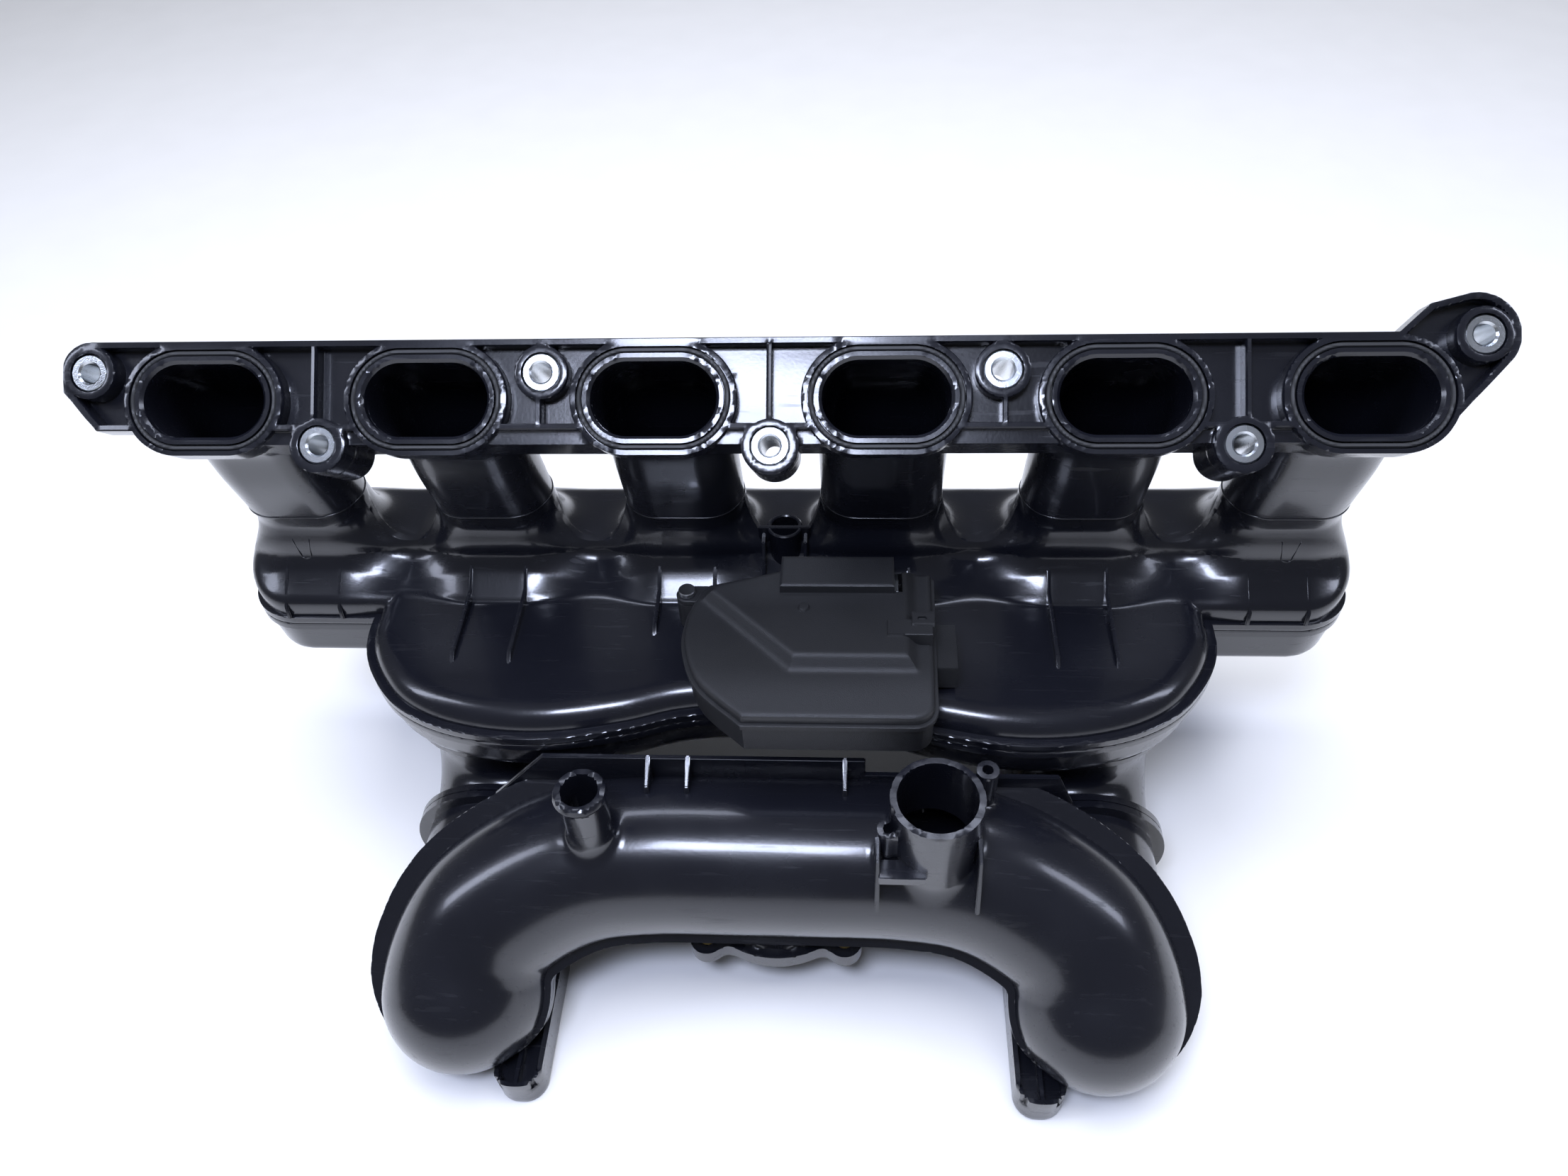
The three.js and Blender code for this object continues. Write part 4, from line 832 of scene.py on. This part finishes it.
# %%
def finish(
    name, color, rough, metal=0.0, rough_span=0.1, tint=0.15, grain=900.0, bump=0.02, scuffs=0.0, coat=0.0
):
    """A finish with broad tone and gloss changes, fine relief, and scuffs and a clear skin where asked."""
    mat = bpy.data.materials.new(name)
    mat.use_nodes = True
    nodes, links = mat.node_tree.nodes, mat.node_tree.links
    bsdf = nodes["Principled BSDF"]
    bsdf.inputs["Metallic"].default_value = metal
    where = nodes.new("ShaderNodeTexCoord")
    broad = nodes.new("ShaderNodeTexNoise")
    broad.inputs["Scale"].default_value = 18
    broad.inputs["Detail"].default_value = 5
    links.new(where.outputs["Object"], broad.inputs["Vector"])
    shade = nodes.new("ShaderNodeMix")
    shade.data_type = "RGBA"
    shade.inputs["A"].default_value = (*[c * (1 - tint) for c in color], 1)
    shade.inputs["B"].default_value = (*[min(1, c * (1 + tint)) for c in color], 1)
    links.new(broad.outputs["Fac"], shade.inputs["Factor"])
    links.new(shade.outputs["Result"], bsdf.inputs["Base Color"])
    fine = nodes.new("ShaderNodeTexNoise")
    fine.inputs["Scale"].default_value = grain
    fine.inputs["Detail"].default_value = 3
    links.new(where.outputs["Object"], fine.inputs["Vector"])
    level = nodes.new("ShaderNodeMapRange")
    level.inputs["From Min"].default_value = 0.3
    level.inputs["From Max"].default_value = 0.7
    level.inputs["To Min"].default_value = rough - rough_span
    level.inputs["To Max"].default_value = rough + rough_span
    links.new(broad.outputs["Fac"], level.inputs["Value"])
    rough_out = level.outputs["Result"]
    if scuffs:
        stretch = nodes.new("ShaderNodeMapping")
        stretch.inputs["Rotation"].default_value = (0.3, 0.2, 0.6)
        stretch.inputs["Scale"].default_value = (30, 420, 260)
        links.new(where.outputs["Object"], stretch.inputs["Vector"])
        lines = nodes.new("ShaderNodeTexNoise")
        lines.inputs["Scale"].default_value = 1
        lines.inputs["Detail"].default_value = 2
        links.new(stretch.outputs["Vector"], lines.inputs["Vector"])
        pick = nodes.new("ShaderNodeMapRange")
        pick.inputs["From Min"].default_value = 0.62
        pick.inputs["From Max"].default_value = 0.78
        pick.inputs["To Max"].default_value = scuffs
        links.new(lines.outputs["Fac"], pick.inputs["Value"])
        add = nodes.new("ShaderNodeMath")
        add.operation = "ADD"
        links.new(rough_out, add.inputs[0])
        links.new(pick.outputs["Result"], add.inputs[1])
        rough_out = add.outputs["Value"]
    links.new(rough_out, bsdf.inputs["Roughness"])
    bsdf.inputs["Coat Weight"].default_value = coat
    bsdf.inputs["Coat Roughness"].default_value = 0.1
    relief = nodes.new("ShaderNodeBump")
    relief.inputs["Strength"].default_value = bump
    relief.inputs["Distance"].default_value = 0.0005
    links.new(fine.outputs["Fac"], relief.inputs["Height"])
    links.new(relief.outputs["Normal"], bsdf.inputs["Normal"])
    return mat


NYLON_COLOR = (0.006, 0.0066, 0.0105)
NYLON = finish(
    "black_nylon", NYLON_COLOR, 0.25, rough_span=0.06, bump=0.07, grain=700, scuffs=0.2, coat=0.4
)
CHARCOAL = finish("charcoal_plastic", (0.013, 0.0135, 0.0155), 0.47, rough_span=0.05, bump=0.35, grain=2600)
RUBBER = finish("seal_rubber", (0.03, 0.031, 0.034), 0.55, grain=1500, bump=0.1)
ZINC = finish("zinc_plate", (0.72, 0.75, 0.78), 0.24, metal=1.0, tint=0.08, grain=1800, bump=0.12)
STEEL = finish("ground_steel", (0.52, 0.53, 0.55), 0.3, metal=1.0, grain=1200, bump=0.05)
BRASS = finish("machined_brass", (0.69, 0.52, 0.22), 0.3, metal=1.0, grain=1500, bump=0.08)
ACETAL = finish("natural_acetal", (0.78, 0.76, 0.68), 0.42, grain=900, bump=0.05)
print("finishes:", [mat.name for mat in (NYLON, CHARCOAL, RUBBER, ZINC, STEEL, BRASS, ACETAL)])

# %% [markdown]
# ## Turned and repeated pieces
# One profile is turned for each kind of piece, then placed at every spot by a node group.


# %%
def turned(name, profile, steps=48):
    """A closed (radius, height) profile turned about Z."""
    prof = np.asarray(profile, float)
    a = np.linspace(0, 2 * math.pi, steps, endpoint=False)
    verts = np.array([(r * math.cos(t), r * math.sin(t), h) for t in a for r, h in prof])
    n = len(prof)
    faces = [
        (i * n + j, ((i + 1) % steps) * n + j, ((i + 1) % steps) * n + (j + 1) % n, i * n + (j + 1) % n)
        for i in range(steps)
        for j in range(n)
    ]
    return add_mesh(name, verts, faces, 30)


def placed(name, template, spots, mat, tilt=0.0):
    """Copies of a piece at the given spots, by a node group, as one plain mesh."""
    group = bpy.data.node_groups.new(name + "_nodes", "GeometryNodeTree")
    group.interface.new_socket("Geometry", in_out="INPUT", socket_type="NodeSocketGeometry")
    piece_in = group.interface.new_socket("Piece", in_out="INPUT", socket_type="NodeSocketObject")
    lean_in = group.interface.new_socket("Lean", in_out="INPUT", socket_type="NodeSocketFloat")
    finish_in = group.interface.new_socket("Finish", in_out="INPUT", socket_type="NodeSocketMaterial")
    group.interface.new_socket("Geometry", in_out="OUTPUT", socket_type="NodeSocketGeometry")
    nodes, links = group.nodes, group.links
    start = nodes.new("NodeGroupInput")
    info = nodes.new("GeometryNodeObjectInfo")
    turn = nodes.new("ShaderNodeCombineXYZ")
    put = nodes.new("GeometryNodeInstanceOnPoints")
    real = nodes.new("GeometryNodeRealizeInstances")
    paint = nodes.new("GeometryNodeSetMaterial")
    end = nodes.new("NodeGroupOutput")
    links.new(start.outputs["Geometry"], put.inputs["Points"])
    links.new(start.outputs["Piece"], info.inputs["Object"])
    links.new(start.outputs["Lean"], turn.inputs["X"])
    links.new(info.outputs["Geometry"], put.inputs["Instance"])
    links.new(turn.outputs[0], put.inputs["Rotation"])
    links.new(put.outputs[0], real.inputs[0])
    links.new(real.outputs[0], paint.inputs["Geometry"])
    links.new(start.outputs["Finish"], paint.inputs["Material"])
    links.new(paint.outputs[0], end.inputs[0])
    cloud = bpy.data.meshes.new(name + "_spots")
    cloud.from_pydata([tuple(c / 1000 for c in s) for s in spots], [], [])
    holder = bpy.data.objects.new(name + "_holder", cloud)
    bpy.context.scene.collection.objects.link(holder)
    mod = holder.modifiers.new("place", "NODES")
    mod.node_group = group
    mod[piece_in.identifier] = template
    mod[lean_in.identifier] = tilt
    mod[finish_in.identifier] = mat
    bpy.context.view_layer.update()
    graph = bpy.context.evaluated_depsgraph_get()
    mesh = bpy.data.meshes.new_from_object(holder.evaluated_get(graph))
    obj = bpy.data.objects.new(name, mesh)
    bpy.context.scene.collection.objects.link(obj)
    bpy.data.objects.remove(holder)
    bpy.data.objects.remove(template)
    print(name, len(spots), "copies")
    return obj


sleeve = turned(
    "sleeve_piece",
    [(4.6, -33.4), (5.2, -34), (8.1, -34), (8.65, -33.4), (8.65, -0.7), (8.0, 0), (5.5, 0), (4.6, -0.9)],
)
bolt_points = from_flange(np.array([(x, u, 0.0) for x, u in BOLTS]))
sleeves = placed("flange_sleeves", sleeve, bolt_points, ZINC, TILT)
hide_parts(*[f"flange_sleeve_{i}" for i in range(1, 8)])

AXIS = 0.0001  # closest a turned profile comes to its axis
cup_inside = [(7.3, -124), (7.3, -113.4), (8, -112.8)]
cup_outside = [(8.8, -112.8), (9.4, -113.4), (9.4, -141), (AXIS, -141), (AXIS, -124)]
cup = turned("bolt_cup", cup_inside + cup_outside)
cup.location = (0.0006, 0.037, 0)
post = turned("box_post", [(AXIS, -160), (3.1, -160), (3.1, -140.8), (AXIS, -140.8)], 24)
post.location = (0.0655, -0.0725, 0)

head = [(AXIS, -116.5), (4.0, -116.5), (4.4, -117), (4.4, -119.3)]
shank = [(2.2, -119.3), (2.2, -139.7), (AXIS, -139.7)]
screws = placed("actuator_ear_screw", turned("screw_piece", head + shank, 24), [(*EAR, 0)], STEEL)
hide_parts("actuator_screw")

insert = turned(
    "insert_piece",
    [(2.6, 0.4), (3.0, 0), (3.7, 0), (4, 0.4), (4, 9.6), (3.7, 10), (3.0, 10), (2.6, 9.6)],
    32,
)
corners = [
    (THROTTLE[0] + i * THROTTLE_BOLT, THROTTLE[1] + j * THROTTLE_BOLT, THROTTLE_FACE)
    for i in (-1, 1)
    for j in (-1, 1)
]
inserts = placed("throttle_inserts", insert, corners, BRASS)
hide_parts(*[f"throttle_insert_{i}" for i in range(1, 5)])


def seal_ring(q):
    edge = port_edge(q[:, 0], q[:, 1])
    return np.hypot(edge - SEAL_MIDDLE, (q[:, 2] + 1.7) * 0.8) - 1.15


seals = skin("port_seals", seal_ring, (-297, -27, -4.4), (297, 27, 1.2), (1.4, 0.9, 0.6), from_flange)
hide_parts(*[f"port_seal_{i}" for i in range(1, 7)])

# %% [markdown]
# ## Dressing
# The CAD pieces that stay in view take a finish, and the smooth pieces take a finish and a body.

# %%
CAD_FINISH = {
    NYLON: ["plenum_divider", "flap_plate"],
    RUBBER: ["throttle_seal"],
    ZINC: ["motor_can"],
    STEEL: ["motor_worm_shaft", "wheel_pin", "flap_shaft"],
    ACETAL: ["worm_wheel", "sector_gear", "flap_bush_upper", "flap_bush_lower"],
    BRASS: ["connector_pin_1", "connector_pin_2", "connector_pin_3"],
}
for mat, names in CAD_FINISH.items():
    for name in names:
        frame["nodes"][name].data.materials.clear()
        frame["nodes"][name].data.materials.append(mat)

elbows = [o for o in bpy.data.objects if o.name.startswith("inlet_elbow_") and o.name.endswith("_skin")]
nylon_pieces = [seams, circles, cup, post, upper, upper_lip, lower_lip, lower, plate, bend]
nylon_pieces += [top_half, low_half, web, *ribs, *gussets, *legs, *elbows]
SLOTS = {
    "black_nylon": (NYLON, nylon_pieces),
    "charcoal_plastic": (CHARCOAL, [cover_skin, base_skin]),
    "zinc_steel": (ZINC, [sleeves]),
    "steel": (STEEL, [screws]),
    "brass": (BRASS, [inserts]),
    "seal_rubber": (RUBBER, [seals]),
}
for slot_name, (mat, pieces) in SLOTS.items():
    for obj in pieces:
        obj.data.materials.clear()
        obj.data.materials.append(mat)
        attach(obj, "manifold")
print("finished pieces:", sum(len(p) for _, p in SLOTS.values()))

# %% [markdown]
# ## Floor, light and camera

# %%
floor_mesh = bpy.data.meshes.new("floor")
floor_mesh.from_pydata([(-6, -6, 0), (6, -6, 0), (6, 8, 0), (-6, 8, 0)], [], [(0, 1, 2, 3)])
floor = bpy.data.objects.new("floor", floor_mesh)
bpy.context.scene.collection.objects.link(floor)
floor.location.z = BENCH_Z / 1000 - 0.0003
floor_mat = finish("pale_floor", (0.86, 0.86, 0.87), 0.6, rough_span=0.03, tint=0.02, grain=60, bump=0.02)
floor_mesh.materials.append(floor_mat)


def softbox(name, place, target, size, power, color=(1, 1, 1)):
    light = bpy.data.lights.new(name, "AREA")
    light.shape = "RECTANGLE"
    light.size, light.size_y = size
    light.energy = power
    light.color = color
    obj = bpy.data.objects.new(name, light)
    bpy.context.scene.collection.objects.link(obj)
    obj.location = place
    direction = Vector(target) - obj.location
    obj.rotation_euler = direction.to_track_quat("-Z", "Y").to_euler()
    return obj


softbox("key", (-0.12, -0.55, 0.85), (0, -0.05, -0.15), (0.34, 0.2), 9, (0.70, 0.77, 1.0))
fill = softbox("overhead", (0, 0.1, 2.2), (0, 0, -0.3), (2.2, 1.6), 62, (0.97, 0.98, 1.0))
fill.visible_glossy = False
softbox("strip", (0, 0.75, 1.5), (0, 0, -0.2), (1.8, 0.22), 9, (0.74, 0.80, 1.0))
softbox("left", (-1.3, -0.3, 1.0), (0, 0, -0.2), (0.25, 0.9), 7, (0.74, 0.80, 1.0))
softbox("right", (1.4, -0.2, 1.0), (0, 0, -0.2), (0.25, 0.9), 6, (0.74, 0.80, 1.0))

world = bpy.data.worlds.new("studio")
bpy.context.scene.world = world
world.use_nodes = True
world.node_tree.nodes["Background"].inputs["Color"].default_value = (0.9, 0.93, 1.0, 1)
world.node_tree.nodes["Background"].inputs["Strength"].default_value = 0.14

camera_data = bpy.data.cameras.new("camera")
camera_data.lens = 26
camera_data.sensor_width = 36
camera = bpy.data.objects.new("camera", camera_data)
bpy.context.scene.collection.objects.link(camera)
camera.location = (0.0388, -0.4025, 0.3052)
camera.rotation_euler = tuple(math.radians(a) for a in (43.32, 2.42, 2.72))
bpy.context.scene.camera = camera
bpy.context.scene.view_settings.view_transform = "Standard"
bpy.context.scene.view_settings.exposure = 0.0
